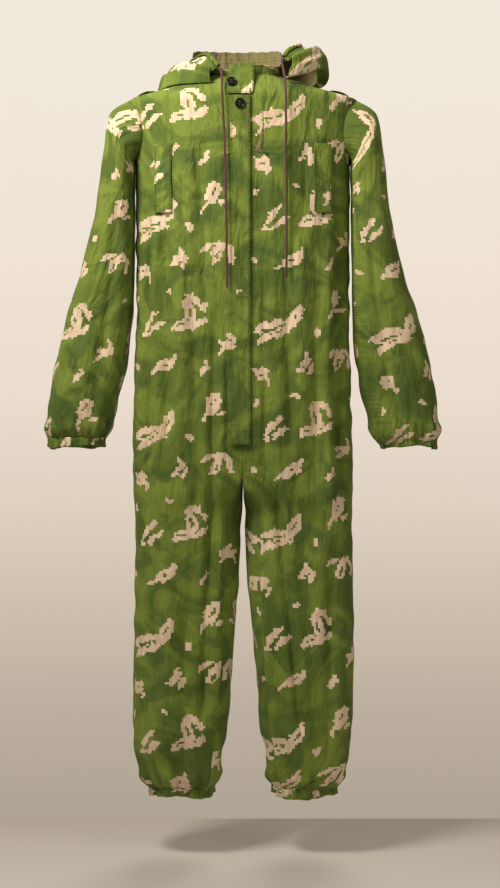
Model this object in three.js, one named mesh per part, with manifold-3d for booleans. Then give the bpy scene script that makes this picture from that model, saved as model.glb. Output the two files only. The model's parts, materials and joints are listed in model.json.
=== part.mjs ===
// Hooded one-piece camouflage coverall, hung by its shoulders with the hood laid back.
// Millimetres, +Z up, front towards -Y. Sides are the wearer's: right is -X, left is +X.
// Origin: centre of the neck base, where a hanger's neck comes through.
import * as THREE from 'three';
import { mergeVertices } from 'three/addons/utils/BufferGeometryUtils.js';
import Module from 'manifold-3d';

const wasm = await Module();
wasm.setup();

// ---------------------------------------------------------------- driving dimensions
const CLOTH = 1.8;            // wall that stands for the cloth and its soft folds
const SEAM_GAP = 0.4;         // between two panels that are sewn edge to edge
const SEAT_GAP = 0.3;         // between a piece and what it lies on
const FULLNESS = 2.5;         // superellipse exponent of the hanging cross-sections

const NECK_HALF_WIDTH = 78;
const NECK_HALF_DEPTH = 60;
const SHOULDER_HALF = 240;    // neck centre to armhole seam
const SHOULDER_DROP = 45;
const CHEST_HALF = 222;
const HIP_HALF = 231;
const BODY_HALF_DEPTH = 95;
const SKIRT_HALF_DEPTH = 84;  // body depth just above the legs
const CROTCH_DROP = 836;
const ARMHOLE_RADIUS = 62;
const ARMHOLE_CLEARANCE = 0.5;
const GUSSET_WIDTH = 64;
const GUSSET_CLEARANCE = 1.1;

const SLEEVE_LENGTH = 706;    // shoulder to the top of the cuff hem
const SLEEVE_SPREAD = 108;    // how far the cuff hangs outside the shoulder seam
const SLEEVE_HALF_WIDTH = 84; // widest place, above the cuff
const SLEEVE_BODY_GAP = 4;
const CUFF_HALF_WIDTH = 58;
const CUFF_HALF_DEPTH = 43;

const INSEAM = 642;           // crotch to the top of the ankle hem
const LEG_HALF_DEPTH = 74;
const LEG_SIDE_CLEARANCE = 1; // leg top inside the body's side seam tab
const SEAM_TAB_HALF_DEPTH = 4; // the side seam's lower end, which the leg hangs inside
const SEAM_TAB_LENGTH = 24;
const LEG_TOP_ABOVE_AXIS = 27;
const BODY_EDGE_ABOVE_LEG = 12;
const ANKLE_HALF_WIDTH = 66;
const ANKLE_HALF_DEPTH = 50;

const HEM_HEIGHT = 19;
const HEM_CLOTH = 1.2;
const ELASTIC_THICKNESS = 1.6;
const ELASTIC_HEIGHT = 12;
const ELASTIC_CLEARANCE = 0.6;

const PLACKET_WIDTH = 40;
const PLACKET_SEWN_X = 15;
const PLACKET_TOP = -52;
const PLACKET_HEAD_LENGTH = 34;
const PLACKET_BOTTOM = -766;
const PLACKET_FOOT_LENGTH = 31;
const PLACKET_END_GAP = 0.5;
const PLACKET_FOLD = 4;       // folded root along the sewn edge
const UNDERLAP_WIDTH = 60;
const UNDERLAP_CLEARANCE = 1.2;

const BUTTON_DIAMETER = 21;
const BUTTON_THICKNESS = 3;
const BUTTON_HOLE_RADIUS = 1.1;
const BUTTON_HOLE_SPACING = 5;
const BUTTON_X = -6;
const FLY_BUTTON_COUNT = 5;

const COLLAR_HEIGHT = 42;
const COLLAR_BELOW_NECK = 6;
const CHIN_TAB_WIDTH = 60;
const CHIN_TAB_LENGTH = 84;
const CHIN_TAB_LEFT_X = 22;

const STRIP_WIDTH = 38;
const STRIP_LENGTH = 142;
const STRIP_THICKNESS = 3;
const STRIP_X = 164;
const STRIP_TOP = -147;
const LOOP_WIDTH = 26;
const LOOP_LENGTH = 44;
const LOOP_THICKNESS = 2.4;
const LOOP_X = 200;

const POUCH_HALF_WIDTH = 165;
const POUCH_HALF_DEPTH = 15;
const POUCH_LENGTH = 195;
const POUCH_BODY_GAP = 0.6;
const COWL_PUFF = 16;
const HOOD_HEM_RADIUS = 4.8;
const CASING_END_X = 1.6;
const COWL_STEPS = 18;        // facets along and across each side of the hood
const COWL_ROWS = 5;
const DRAWCORD_DIAMETER = 5;

// ---------------------------------------------------------------- derived places
const ARMHOLE_Z = -(SHOULDER_DROP + 3 + ARMHOLE_RADIUS);
const LEG_AXIS_Z = -(CROTCH_DROP + CLOTH + 1 + Math.hypot(LEG_HALF_DEPTH, LEG_TOP_ABOVE_AXIS));
const BODY_EDGE_Z = LEG_AXIS_Z + LEG_TOP_ABOVE_AXIS + BODY_EDGE_ABOVE_LEG;
const LEG_TOP_Z = LEG_AXIS_Z + LEG_TOP_ABOVE_AXIS;
const ANKLE_TOP_Z = -(CROTCH_DROP + INSEAM);
const CUFF_TOP_Z = -(SHOULDER_DROP + SLEEVE_LENGTH);
const POUCH_Y = BODY_HALF_DEPTH + POUCH_BODY_GAP + POUCH_HALF_DEPTH;
const HUGE = 4000;

// ---------------------------------------------------------------- materials
const finish = (color, roughness, metalness = 0) =>
  new THREE.MeshStandardMaterial({ color, roughness, metalness, side: THREE.DoubleSide });
const camouflage = () => finish(0x5f7331, 0.92);
const khakiLining = () => finish(0x9a8f63, 0.94);
const elasticBraid = () => finish(0xd8d3c2, 0.85);
const hornPlastic = () => finish(0x17181a, 0.38);
const maroonLace = () => finish(0x6b3b44, 0.9);

// ---------------------------------------------------------------- solid helpers
function toSolid(geometry) {
  const bare = geometry.clone();
  bare.deleteAttribute('normal');
  bare.deleteAttribute('uv');
  const merged = mergeVertices(bare, 1e-4);
  return new wasm.Manifold(new wasm.Mesh({
    numProp: 3,
    vertProperties: new Float32Array(merged.attributes.position.array),
    triVerts: new Uint32Array(merged.index.array),
  }));
}

function toGeometry(solid) {
  const mesh = solid.getMesh();
  const geometry = new THREE.BufferGeometry();
  geometry.setAttribute('position', new THREE.BufferAttribute(new Float32Array(mesh.vertProperties), 3));
  geometry.setIndex(new THREE.BufferAttribute(new Uint32Array(mesh.triVerts), 1));
  geometry.computeVertexNormals();
  return geometry;
}

// a box between two corners
function block(low, high) {
  const geometry = new THREE.BoxGeometry(high[0] - low[0], high[1] - low[1], high[2] - low[2]);
  geometry.translate((low[0] + high[0]) / 2, (low[1] + high[1]) / 2, (low[2] + high[2]) / 2);
  return geometry;
}

// a round bar along Y through (x, z)
function barAlongY(x, z, radius, sides = 32) {
  const geometry = new THREE.CylinderGeometry(radius, radius, HUGE, sides);
  geometry.translate(x, 0, z);
  return toSolid(geometry);
}

function ovalPoint({ x = 0, y = 0, z, a, b }, turn) {
  const c = Math.cos(turn);
  const s = Math.sin(turn);
  const power = 2 / FULLNESS;
  return new THREE.Vector3(
    x + a * Math.sign(c) * Math.abs(c) ** power,
    y + b * Math.sign(s) * Math.abs(s) ** power,
    z,
  );
}

// a closed solid through level oval sections, listed from the top down
function loft(sections, sides = 28) {
  const positions = [];
  const index = [];
  for (const section of sections) {
    for (let i = 0; i < sides; i++) {
      positions.push(...ovalPoint(section, (2 * Math.PI * i) / sides).toArray());
    }
  }
  for (let row = 0; row + 1 < sections.length; row++) {
    for (let i = 0; i < sides; i++) {
      const next = (i + 1) % sides;
      const upper = row * sides;
      const lower = upper + sides;
      index.push(upper + i, lower + i, upper + next);
      index.push(upper + next, lower + i, lower + next);
    }
  }
  const last = (sections.length - 1) * sides;
  for (let i = 1; i + 1 < sides; i++) {
    index.push(0, i, i + 1);
    index.push(last, last + i + 1, last + i);
  }
  const geometry = new THREE.BufferGeometry();
  geometry.setAttribute('position', new THREE.Float32BufferAttribute(positions, 3));
  geometry.setIndex(index);
  return geometry;
}

// the same sections one wall further in, run past the ends that stay open
function inward(sections, { openTop, openBottom }, wall = CLOTH) {
  const inner = sections.map((s) => ({ ...s, z: s.z - wall, a: s.a - wall, b: s.b - wall }));
  if (openTop) inner.unshift({ ...inner[0], z: sections[0].z + wall });
  if (openBottom) {
    const end = inner[inner.length - 1];
    inner.push({ ...end, z: end.z - 2 * wall });
  }
  return inner;
}

// a thin closed sheet on the surface at(u, v), raised by lift, its wall on the side of -normal
function sheet(at, nu, nv, wall, lift = 0) {
  const outer = [];
  const inner = [];
  const step = 1e-4;
  for (let i = 0; i <= nu; i++) {
    for (let j = 0; j <= nv; j++) {
      const u = i / nu;
      const v = j / nv;
      const du = at(Math.min(u + step, 1), v).sub(at(Math.max(u - step, 0), v));
      const dv = at(u, Math.min(v + step, 1)).sub(at(u, Math.max(v - step, 0)));
      const normal = du.cross(dv).normalize();
      const point = at(u, v).addScaledVector(normal, lift);
      outer.push(point);
      inner.push(point.clone().addScaledVector(normal, -wall));
    }
  }
  const positions = [...outer, ...inner].flatMap((p) => p.toArray());
  const index = [];
  const half = outer.length;
  const cell = (i, j) => i * (nv + 1) + j;
  const quad = (a, b, c, d) => index.push(a, b, c, a, c, d);
  for (let i = 0; i < nu; i++) {
    for (let j = 0; j < nv; j++) {
      const corners = [cell(i, j), cell(i + 1, j), cell(i + 1, j + 1), cell(i, j + 1)];
      quad(...corners);
      quad(...corners.reverse().map((k) => k + half));
    }
  }
  for (let i = 0; i < nu; i++) {
    quad(cell(i + 1, 0), cell(i, 0), cell(i, 0) + half, cell(i + 1, 0) + half);
    quad(cell(i, nv), cell(i + 1, nv), cell(i + 1, nv) + half, cell(i, nv) + half);
  }
  for (let j = 0; j < nv; j++) {
    quad(cell(0, j), cell(0, j + 1), cell(0, j + 1) + half, cell(0, j) + half);
    quad(cell(nu, j + 1), cell(nu, j), cell(nu, j) + half, cell(nu, j + 1) + half);
  }
  const geometry = new THREE.BufferGeometry();
  geometry.setAttribute('position', new THREE.Float32BufferAttribute(positions, 3));
  geometry.setIndex(index);
  const solid = toSolid(geometry);
  if (solid.volume() > 0) return geometry;
  geometry.setIndex(index.reverse());
  return geometry;
}

// half-spaces that split a shell along its seams
const half = SEAM_GAP / 2;
const rightHalf = toSolid(block([-HUGE, -HUGE, -HUGE], [-half, HUGE, HUGE]));
const leftHalf = toSolid(block([half, -HUGE, -HUGE], [HUGE, HUGE, HUGE]));
const frontHalf = toSolid(block([-HUGE, -HUGE, -HUGE], [HUGE, -half, HUGE]));
const backHalf = toSolid(block([-HUGE, half, -HUGE], [HUGE, HUGE, HUGE]));

// ---------------------------------------------------------------- scene graph
const coverall = new THREE.Group();
coverall.name = 'hooded_coverall';

function addPiece(name, shape, material, place) {
  const geometry = shape.isBufferGeometry ? shape : toGeometry(shape);
  const mesh = new THREE.Mesh(geometry, material);
  mesh.name = name;
  if (place) place(mesh);
  coverall.add(mesh);
  return mesh;
}

const sides = [
  { side: 'right', sign: -1, half: rightHalf },
  { side: 'left', sign: 1, half: leftHalf },
];

// ---------------------------------------------------------------- body
const bodySections = [
  { z: 0, a: NECK_HALF_WIDTH, b: NECK_HALF_DEPTH },
  { z: -SHOULDER_DROP / 3, a: NECK_HALF_WIDTH + (SHOULDER_HALF - NECK_HALF_WIDTH) / 3,
    b: NECK_HALF_DEPTH + (BODY_HALF_DEPTH - NECK_HALF_DEPTH) * 0.4 },
  { z: -SHOULDER_DROP * 2 / 3, a: NECK_HALF_WIDTH + (SHOULDER_HALF - NECK_HALF_WIDTH) * 2 / 3,
    b: NECK_HALF_DEPTH + (BODY_HALF_DEPTH - NECK_HALF_DEPTH) * 0.75 },
  { z: -SHOULDER_DROP, a: SHOULDER_HALF, b: BODY_HALF_DEPTH },
  { z: ARMHOLE_Z - ARMHOLE_RADIUS, a: CHEST_HALF + 2, b: BODY_HALF_DEPTH },
  { z: -CROTCH_DROP * 0.4, a: CHEST_HALF, b: BODY_HALF_DEPTH },
  { z: -CROTCH_DROP * 0.58, a: CHEST_HALF - 1, b: BODY_HALF_DEPTH },
  { z: -CROTCH_DROP * 0.72, a: (CHEST_HALF + HIP_HALF) / 2, b: BODY_HALF_DEPTH },
  { z: PLACKET_BOTTOM - 4, a: HIP_HALF, b: BODY_HALF_DEPTH },
  { z: BODY_EDGE_Z, a: HIP_HALF, b: SKIRT_HALF_DEPTH },
  { z: BODY_EDGE_Z - SEAM_TAB_LENGTH, a: HIP_HALF, b: SKIRT_HALF_DEPTH },
];
// half width and half depth of the body at a height
function bodyAt(z) {
  const upper = bodySections.findLastIndex((s) => s.z >= z);
  const [from, to] = [bodySections[upper], bodySections[upper + 1]];
  const share = (z - from.z) / (to.z - from.z);
  return { a: from.a + (to.a - from.a) * share, b: from.b + (to.b - from.b) * share };
}
const bodyOuter = toSolid(loft(bodySections));
const bodyInner = toSolid(loft(inward(bodySections, { openTop: true, openBottom: true })));

function armhole(sign, extra) {
  return barAlongY(sign * SHOULDER_HALF, ARMHOLE_Z, ARMHOLE_RADIUS + extra);
}

// front and back leave an upside-down V between the legs below the crotch
function crotchNotch() {
  const notch = new THREE.Shape();
  notch.moveTo(0, -CROTCH_DROP);
  notch.lineTo(-7, -CROTCH_DROP - 90);
  notch.lineTo(7, -CROTCH_DROP - 90);
  const geometry = new THREE.ExtrudeGeometry(notch, { depth: HUGE, bevelEnabled: false });
  geometry.translate(0, 0, -HUGE / 2);
  geometry.rotateX(Math.PI / 2);
  return toSolid(geometry);
}

// below its lower edge the body keeps only the ends of the two side seams
function belowBodyEdge(sign) {
  const low = [-HUGE, Math.min(sign * SEAM_TAB_HALF_DEPTH, sign * HUGE), -HUGE];
  const high = [HUGE, Math.max(sign * SEAM_TAB_HALF_DEPTH, sign * HUGE), BODY_EDGE_Z];
  return toSolid(block(low, high));
}

const bodyShell = bodyOuter.subtract(bodyInner)
  .subtract(belowBodyEdge(-1))
  .subtract(belowBodyEdge(1))
  .subtract(armhole(-1, ARMHOLE_CLEARANCE))
  .subtract(armhole(1, ARMHOLE_CLEARANCE))
  .subtract(crotchNotch());
for (const { side, half: sideHalf } of sides) {
  addPiece(`front_${side}`, bodyShell.intersect(sideHalf).intersect(frontHalf), camouflage());
  addPiece(`back_${side}`, bodyShell.intersect(sideHalf).intersect(backHalf), camouflage());
}

// the crotch gusset arches over the tops of both legs, from the front wall to the back wall
function crotchGusset() {
  const reach = SKIRT_HALF_DEPTH - CLOTH - GUSSET_CLEARANCE;
  const footZ = BODY_EDGE_Z + 1;
  const rise = -CROTCH_DROP - footZ;
  const arch = new THREE.Shape();
  arch.absellipse(0, 0, reach, rise, 0, Math.PI, false, 0);
  arch.absellipse(0, 0, reach - CLOTH, rise - CLOTH, Math.PI, 0, true, 0);
  const geometry = new THREE.ExtrudeGeometry(arch, {
    depth: GUSSET_WIDTH,
    bevelEnabled: false,
    curveSegments: 12,
  });
  geometry.translate(0, 0, -GUSSET_WIDTH / 2);
  geometry.rotateX(Math.PI / 2);
  geometry.rotateZ(Math.PI / 2);
  geometry.translate(0, 0, footZ);
  return geometry;
}
addPiece('crotch_gusset', crotchGusset(), camouflage());

// ---------------------------------------------------------------- front closure
const FRONT_Y = -BODY_HALF_DEPTH;
const flapInnerY = FRONT_Y - SEAT_GAP - BUTTON_THICKNESS - SEAT_GAP;
const flapOuterY = flapInnerY - CLOTH;

// strip with a folded root along its sewn edge, between two heights
function placketPiece(top, bottom) {
  const freeX = PLACKET_SEWN_X - PLACKET_WIDTH;
  const rootX = PLACKET_SEWN_X - PLACKET_FOLD;
  const outline = new THREE.Shape();
  outline.moveTo(freeX, flapOuterY);
  outline.lineTo(PLACKET_SEWN_X, flapOuterY);
  outline.lineTo(PLACKET_SEWN_X, FRONT_Y - SEAT_GAP);
  outline.lineTo(rootX, FRONT_Y - SEAT_GAP);
  outline.lineTo(rootX, flapInnerY);
  outline.lineTo(freeX, flapInnerY);
  const geometry = new THREE.ExtrudeGeometry(outline, { depth: top - bottom, bevelEnabled: false });
  geometry.translate(0, 0, bottom);
  return geometry;
}
const headBottom = PLACKET_TOP - PLACKET_HEAD_LENGTH;
const footTop = PLACKET_BOTTOM + PLACKET_FOOT_LENGTH;
addPiece('placket_head', placketPiece(PLACKET_TOP, headBottom), camouflage());
addPiece('placket_flap', placketPiece(headBottom - PLACKET_END_GAP, footTop + PLACKET_END_GAP), camouflage());
addPiece('placket_foot', placketPiece(footTop, PLACKET_BOTTOM), camouflage());

const underlapY = FRONT_Y + CLOTH + UNDERLAP_CLEARANCE;
addPiece('fly_underlap', block(
  [-UNDERLAP_WIDTH / 2, underlapY, PLACKET_BOTTOM + 6],
  [UNDERLAP_WIDTH / 2, underlapY + CLOTH, PLACKET_TOP - 10],
), khakiLining());

// four-hole button lying in the XY plane, its back at z = 0
function buttonGeometry() {
  const disc = new THREE.Shape();
  disc.absarc(0, 0, BUTTON_DIAMETER / 2, 0, 2 * Math.PI, false);
  for (let i = 0; i < 4; i++) {
    const turn = Math.PI / 4 + (i * Math.PI) / 2;
    const reach = BUTTON_HOLE_SPACING / Math.SQRT2;
    const corners = [0, 1, 2, 3, 4, 5].map((k) => new THREE.Vector2(
      reach * Math.cos(turn) + BUTTON_HOLE_RADIUS * Math.cos((k * Math.PI) / 3),
      reach * Math.sin(turn) + BUTTON_HOLE_RADIUS * Math.sin((k * Math.PI) / 3),
    ));
    disc.holes.push(new THREE.Path(corners));
  }
  return new THREE.ExtrudeGeometry(disc, { depth: BUTTON_THICKNESS, bevelEnabled: false, curveSegments: 8 });
}

function addButton(name, x, backY, z, lean = 0) {
  addPiece(name, buttonGeometry(), hornPlastic(), (mesh) => {
    mesh.position.set(x, backY, z);
    mesh.rotation.set(Math.PI / 2 + lean, 0, 0);
  });
}
const flyPitch = (headBottom - footTop - 2 * BUTTON_DIAMETER) / (FLY_BUTTON_COUNT - 1);
for (let i = 0; i < FLY_BUTTON_COUNT; i++) {
  addButton(`fly_button_${i + 1}`, BUTTON_X, FRONT_Y - SEAT_GAP, headBottom - BUTTON_DIAMETER - i * flyPitch);
}
addButton('placket_button', BUTTON_X, flapOuterY - SEAT_GAP, PLACKET_TOP - PLACKET_HEAD_LENGTH / 2);

// ---------------------------------------------------------------- collar and chin tab
function collarHalf(sign, grow, past) {
  const a = NECK_HALF_WIDTH - CLOTH - 2 * SEAT_GAP - grow;
  const b = NECK_HALF_DEPTH - CLOTH - 2 * SEAT_GAP - grow;
  const start = Math.PI / 2 - sign * (half / a);
  const sweep = -sign * (Math.PI - (2 * half) / a + past / a);
  const at = (u, v) => ovalPoint(
    { z: -COLLAR_BELOW_NECK + COLLAR_HEIGHT * v, a, b },
    start + sweep * u,
  );
  return sheet(at, 14, 1, -sign * CLOTH);
}
const COLLAR_LAP = 24;
addPiece('collar_right', collarHalf(-1, CLOTH + 2 * SEAT_GAP, 0), camouflage());
addPiece('collar_left', collarHalf(1, 0, COLLAR_LAP), camouflage());

const TAB_ABOVE_PLACKET = 3.3;
const tabBottomZ = PLACKET_TOP + TAB_ABOVE_PLACKET;
const tabLean = Math.atan((BODY_HALF_DEPTH - NECK_HALF_DEPTH) / CHIN_TAB_LENGTH);
const tabTouches = bodySections.filter((s) => s.z > tabBottomZ)
  .map((s) => s.b + (s.z - tabBottomZ) * Math.tan(tabLean));
const tabBackY = -Math.max(...tabTouches) - SEAT_GAP;
addPiece('chin_tab', block(
  [CHIN_TAB_LEFT_X - CHIN_TAB_WIDTH, -CLOTH, 0],
  [CHIN_TAB_LEFT_X, 0, CHIN_TAB_LENGTH],
), camouflage(), (mesh) => {
  mesh.position.set(0, tabBackY, tabBottomZ);
  mesh.rotation.set(-tabLean, 0, 0);
});
addPiece('collar_button', buttonGeometry(), hornPlastic(), (mesh) => {
  const up = CHIN_TAB_LENGTH * 0.32;
  const out = CLOTH + SEAT_GAP;
  mesh.position.set(
    BUTTON_X - 17,
    tabBackY - out * Math.cos(tabLean) + up * Math.sin(tabLean),
    tabBottomZ + up * Math.cos(tabLean) + out * Math.sin(tabLean),
  );
  mesh.rotation.set(Math.PI / 2 - tabLean, 0, 0);
});

// ---------------------------------------------------------------- strips and loops for foliage
// where the body's front lies at x and z
function frontY(x, z) {
  const { a, b } = bodyAt(z);
  return -b * (1 - (Math.abs(x) / a) ** FULLNESS) ** (1 / FULLNESS);
}

for (const { side, sign } of sides) {
  const x = sign * STRIP_X;
  const reach = STRIP_WIDTH / 2;
  const turn = Math.atan2(frontY(x + reach, STRIP_TOP) - frontY(x - reach, STRIP_TOP), STRIP_WIDTH);
  addPiece(`chest_strip_${side}`, block(
    [-STRIP_WIDTH / 2, -STRIP_THICKNESS, -STRIP_LENGTH],
    [STRIP_WIDTH / 2, 0, 0],
  ), camouflage(), (mesh) => {
    mesh.position.set(x, frontY(x, STRIP_TOP) - 2 * SEAT_GAP, STRIP_TOP);
    mesh.rotation.set(0, 0, turn);
  });
}

const shoulderSlope = Math.atan2(SHOULDER_DROP, SHOULDER_HALF - NECK_HALF_WIDTH);
for (const { side, sign } of sides) {
  const drop = (LOOP_X - NECK_HALF_WIDTH) * Math.tan(shoulderSlope);
  addPiece(`shoulder_loop_${side}`, block(
    [-LOOP_LENGTH / 2, -LOOP_WIDTH / 2, SEAT_GAP],
    [LOOP_LENGTH / 2, LOOP_WIDTH / 2, SEAT_GAP + LOOP_THICKNESS],
  ), camouflage(), (mesh) => {
    mesh.position.set(sign * LOOP_X, 0, -drop);
    mesh.rotation.set(0, sign * shoulderSlope, 0);
  });
}

// ---------------------------------------------------------------- hood laid back behind the neck
const line = (points) => new THREE.CatmullRomCurve3(points.map((p) => new THREE.Vector3(...p)));

// the face edge and the lower edge of each side of the hood, from throat to centre back
const pouchBackY = POUCH_Y + POUCH_HALF_DEPTH;
const hoodSides = {
  right: {
    faceEdge: line([[-50, -74, 12], [-74, -56, 40], [-100, -12, 40], [-104, 36, 46],
      [-64, pouchBackY - 32, 54], [-CASING_END_X, pouchBackY - 18, 57]]),
    lowerEdge: line([[-66, -80, -8], [-118, -66, -10], [-173, -20, -25.6], [-174, 46, -16],
      [-116, pouchBackY - 12, 5], [-half, pouchBackY - 1, 4]]),
    puff: COWL_PUFF,
  },
  left: {
    faceEdge: line([[84, -62, 34], [96, -50, 52], [118, -14, 70], [112, 36, 64],
      [64, pouchBackY - 32, 58], [CASING_END_X, pouchBackY - 18, 57]]),
    lowerEdge: line([[92, -76, -8], [128, -62, 0], [174, -20, 8], [176, 46, -4],
      [116, pouchBackY - 12, 5], [half, pouchBackY - 1, 4]]),
    puff: COWL_PUFF,
  },
};
// the upper layer of the hood: u from throat to centre back, v from face edge to lower edge
function cowlSurface({ faceEdge, lowerEdge, puff }, sign) {
  return (u, v) => {
    const from = faceEdge.getPoint(u);
    const to = lowerEdge.getPoint(u);
    const inset = (HOOD_HEM_RADIUS - SEAT_GAP) / from.distanceTo(to);
    const point = from.clone().lerp(to, inset + (1 - inset) * v);
    const lift = puff * Math.sin(Math.PI * v) * (1 - u ** 6 * 0.6);
    point.z += lift;
    point.x += sign * lift * (1 - u ** 4) * 0.8;
    return point;
  };
}
for (const { side, sign } of sides) {
  const at = cowlSurface(hoodSides[side], sign);
  addPiece(`cowl_${side}`, sheet(at, COWL_STEPS, COWL_ROWS, -sign * CLOTH), camouflage());
}

// round casing along the face edge, open along the side where the hood's cloth enters
for (const { side } of sides) {
  const { faceEdge, lowerEdge } = hoodSides[side];
  const at = (u, v) => {
    const centre = faceEdge.getPoint(u);
    const along = faceEdge.getTangent(u);
    const toCloth = lowerEdge.getPoint(u).sub(centre);
    toCloth.addScaledVector(along, -toCloth.dot(along)).normalize();
    const across = along.clone().cross(toCloth);
    const turn = THREE.MathUtils.degToRad(30 + 300 * v);
    return centre.addScaledVector(toCloth, HOOD_HEM_RADIUS * Math.cos(turn))
      .addScaledVector(across, HOOD_HEM_RADIUS * Math.sin(turn));
  };
  addPiece(`hood_casing_${side}`, sheet(at, COWL_STEPS, 6, HEM_CLOTH), camouflage());
}

function cordAlong(points, steps) {
  const section = new THREE.Shape();
  section.absarc(0, 0, DRAWCORD_DIAMETER / 2, 0, 2 * Math.PI, false);
  return new THREE.ExtrudeGeometry(section, {
    extrudePath: line(points),
    steps,
    curveSegments: 4,
    bevelEnabled: false,
  });
}
const casedPath = [
  ...hoodSides.right.faceEdge.getPoints(10).slice(0, -1).map((p) => p.toArray()),
  [0, pouchBackY - 18, 57],
  ...hoodSides.left.faceEdge.getPoints(10).slice(0, -1).reverse().map((p) => p.toArray()),
];
addPiece('hood_drawcord', cordAlong(casedPath, 44), maroonLace());

// the two free ends of the drawcord, from the throat down the chest
const rightCordRoute = [
  [-49.6, -74.3, 11.6], [-47, -76.6, 8], [-44.5, -82, 1], [-43, -90, -10], [-42.5, -97, -24], [-42, -103, -44],
  [-41, -106, -70], [-39, -106.5, -108], [-37, -106.5, -150], [-36, -106.5, -195], [-35, -106.5, -240],
  [-34, -106.5, -285], [-33, -106.5, -330], [-33, -106.5, -375], [-32, -106.5, -412], [-32, -106.5, -446],
];
const leftCordRoute = [
  [83.7, -62.3, 33.5], [81.4, -64.8, 29.8], [80.4, -71, 22], [82, -80, 9], [85, -89, -9], [87, -96, -31],
  [88, -100, -57], [88, -101.5, -90], [88, -102, -130], [88, -102, -175], [89, -102, -220],
  [89, -102, -262], [89, -102, -304], [89, -102, -345], [89, -102, -385], [89, -102, -424],
];
addPiece('drawcord_right', cordAlong(rightCordRoute, 38), maroonLace());
addPiece('drawcord_left', cordAlong(leftCordRoute, 38), maroonLace());

// lower layer of the hood, from the neck seam out over the shoulders to the bag behind
const BAND_ABOVE_SHOULDER = 2;
for (const { side, sign } of sides) {
  const ring = { a: NECK_HALF_WIDTH + 2, b: NECK_HALF_DEPTH + 2, z: 2 * SEAT_GAP };
  const at = (u, v) => {
    const near = ovalPoint(ring, Math.PI * (0.5 + 0.62 * (1 - u)));
    near.x = sign * Math.max(half, Math.abs(near.x));
    const far = hoodSides[side].lowerEdge.getPoint(0.34 + 0.66 * u);
    const backness = THREE.MathUtils.smoothstep(u, 0.3, 0.75);
    far.x -= sign * 10 * (1 - backness);
    far.y -= backness * (2 * POUCH_HALF_DEPTH + 4);
    far.z = BAND_ABOVE_SHOULDER - Math.max(0, Math.abs(far.x) - NECK_HALF_WIDTH) * Math.tan(shoulderSlope);
    const point = near.lerp(far, v);
    point.x = sign * Math.max(CLOTH + half, Math.abs(point.x));
    return point;
  };
  addPiece(`hood_neck_band_${side}`, sheet(at, 8, 3, sign * CLOTH), khakiLining());
}

// the bag that hangs down the back
const pouchSections = [
  { z: -2, y: POUCH_Y, a: POUCH_HALF_WIDTH * 0.9, b: POUCH_HALF_DEPTH },
  { z: -POUCH_LENGTH * 0.3, y: POUCH_Y, a: POUCH_HALF_WIDTH, b: POUCH_HALF_DEPTH },
  { z: -POUCH_LENGTH * 0.62, y: POUCH_Y, a: POUCH_HALF_WIDTH * 0.93, b: POUCH_HALF_DEPTH },
  { z: -POUCH_LENGTH * 0.87, y: POUCH_Y, a: POUCH_HALF_WIDTH * 0.74, b: POUCH_HALF_DEPTH * 0.9 },
  { z: -POUCH_LENGTH * 0.97, y: POUCH_Y, a: POUCH_HALF_WIDTH * 0.55, b: POUCH_HALF_DEPTH * 0.7 },
  { z: -POUCH_LENGTH, y: POUCH_Y, a: POUCH_HALF_WIDTH * 0.42, b: POUCH_HALF_DEPTH * 0.4 },
];
const pouchInner = inward(pouchSections, { openTop: true, openBottom: false }).slice(0, -1);
pouchInner[pouchInner.length - 1].z = -POUCH_LENGTH + 2 * CLOTH;
const pouchShell = toSolid(loft(pouchSections)).subtract(toSolid(loft(pouchInner)));
for (const { side, half: sideHalf } of sides) {
  addPiece(`hood_${side}`, pouchShell.intersect(sideHalf), camouflage());
}

// tape stitched inside the back of the hood, just below the face edge
const tapeAt = (u, v) => cowlSurface(hoodSides.right, -1)((12 + 3 * u) / COWL_STEPS, (2 * v) / COWL_ROWS);
addPiece('hood_tape', sheet(tapeAt, 3, 2, HEM_CLOTH, -CLOTH - SEAT_GAP), khakiLining());

// ---------------------------------------------------------------- sleeves and legs
// hem: an upright U-channel ring with an elastic band inside it
function hemRing(a, b, topZ, centre) {
  const channel = ELASTIC_THICKNESS + 2 * ELASTIC_CLEARANCE;
  const total = channel + 2 * HEM_CLOTH;
  const profile = [
    [0, 0], [-HEM_CLOTH, 0], [-HEM_CLOTH, -HEM_HEIGHT + HEM_CLOTH],
    [-total + HEM_CLOTH, -HEM_HEIGHT + HEM_CLOTH], [-total + HEM_CLOTH, 0], [-total, 0],
    [-total, -HEM_HEIGHT], [0, -HEM_HEIGHT], [0, 0],
  ];
  return ovalLathe(profile, a, b, topZ, centre);
}

function elasticRing(a, b, topZ, centre) {
  const outer = -(HEM_CLOTH + ELASTIC_CLEARANCE);
  const low = -HEM_HEIGHT + HEM_CLOTH + SEAT_GAP;
  const profile = [
    [outer, low + ELASTIC_HEIGHT], [outer - ELASTIC_THICKNESS, low + ELASTIC_HEIGHT],
    [outer - ELASTIC_THICKNESS, low], [outer, low], [outer, low + ELASTIC_HEIGHT],
  ];
  return ovalLathe(profile, a, b, topZ, centre);
}

// a profile of [offset from the oval, height] pairs turned round an oval of half sizes a and b
function ovalLathe(profile, a, b, topZ, centre, segments = 20) {
  const points = profile.map(([out, up]) => new THREE.Vector2(a + out, up));
  const geometry = new THREE.LatheGeometry(points, segments);
  geometry.rotateX(Math.PI / 2);
  const position = geometry.attributes.position;
  for (let i = 0; i < position.count; i++) {
    const x = position.getX(i);
    const y = position.getY(i);
    const radius = Math.hypot(x, y);
    const offset = radius - a;
    position.setXYZ(i, centre + x, (y / radius) * (b + offset), topZ + position.getZ(i));
  }
  return geometry;
}

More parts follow.
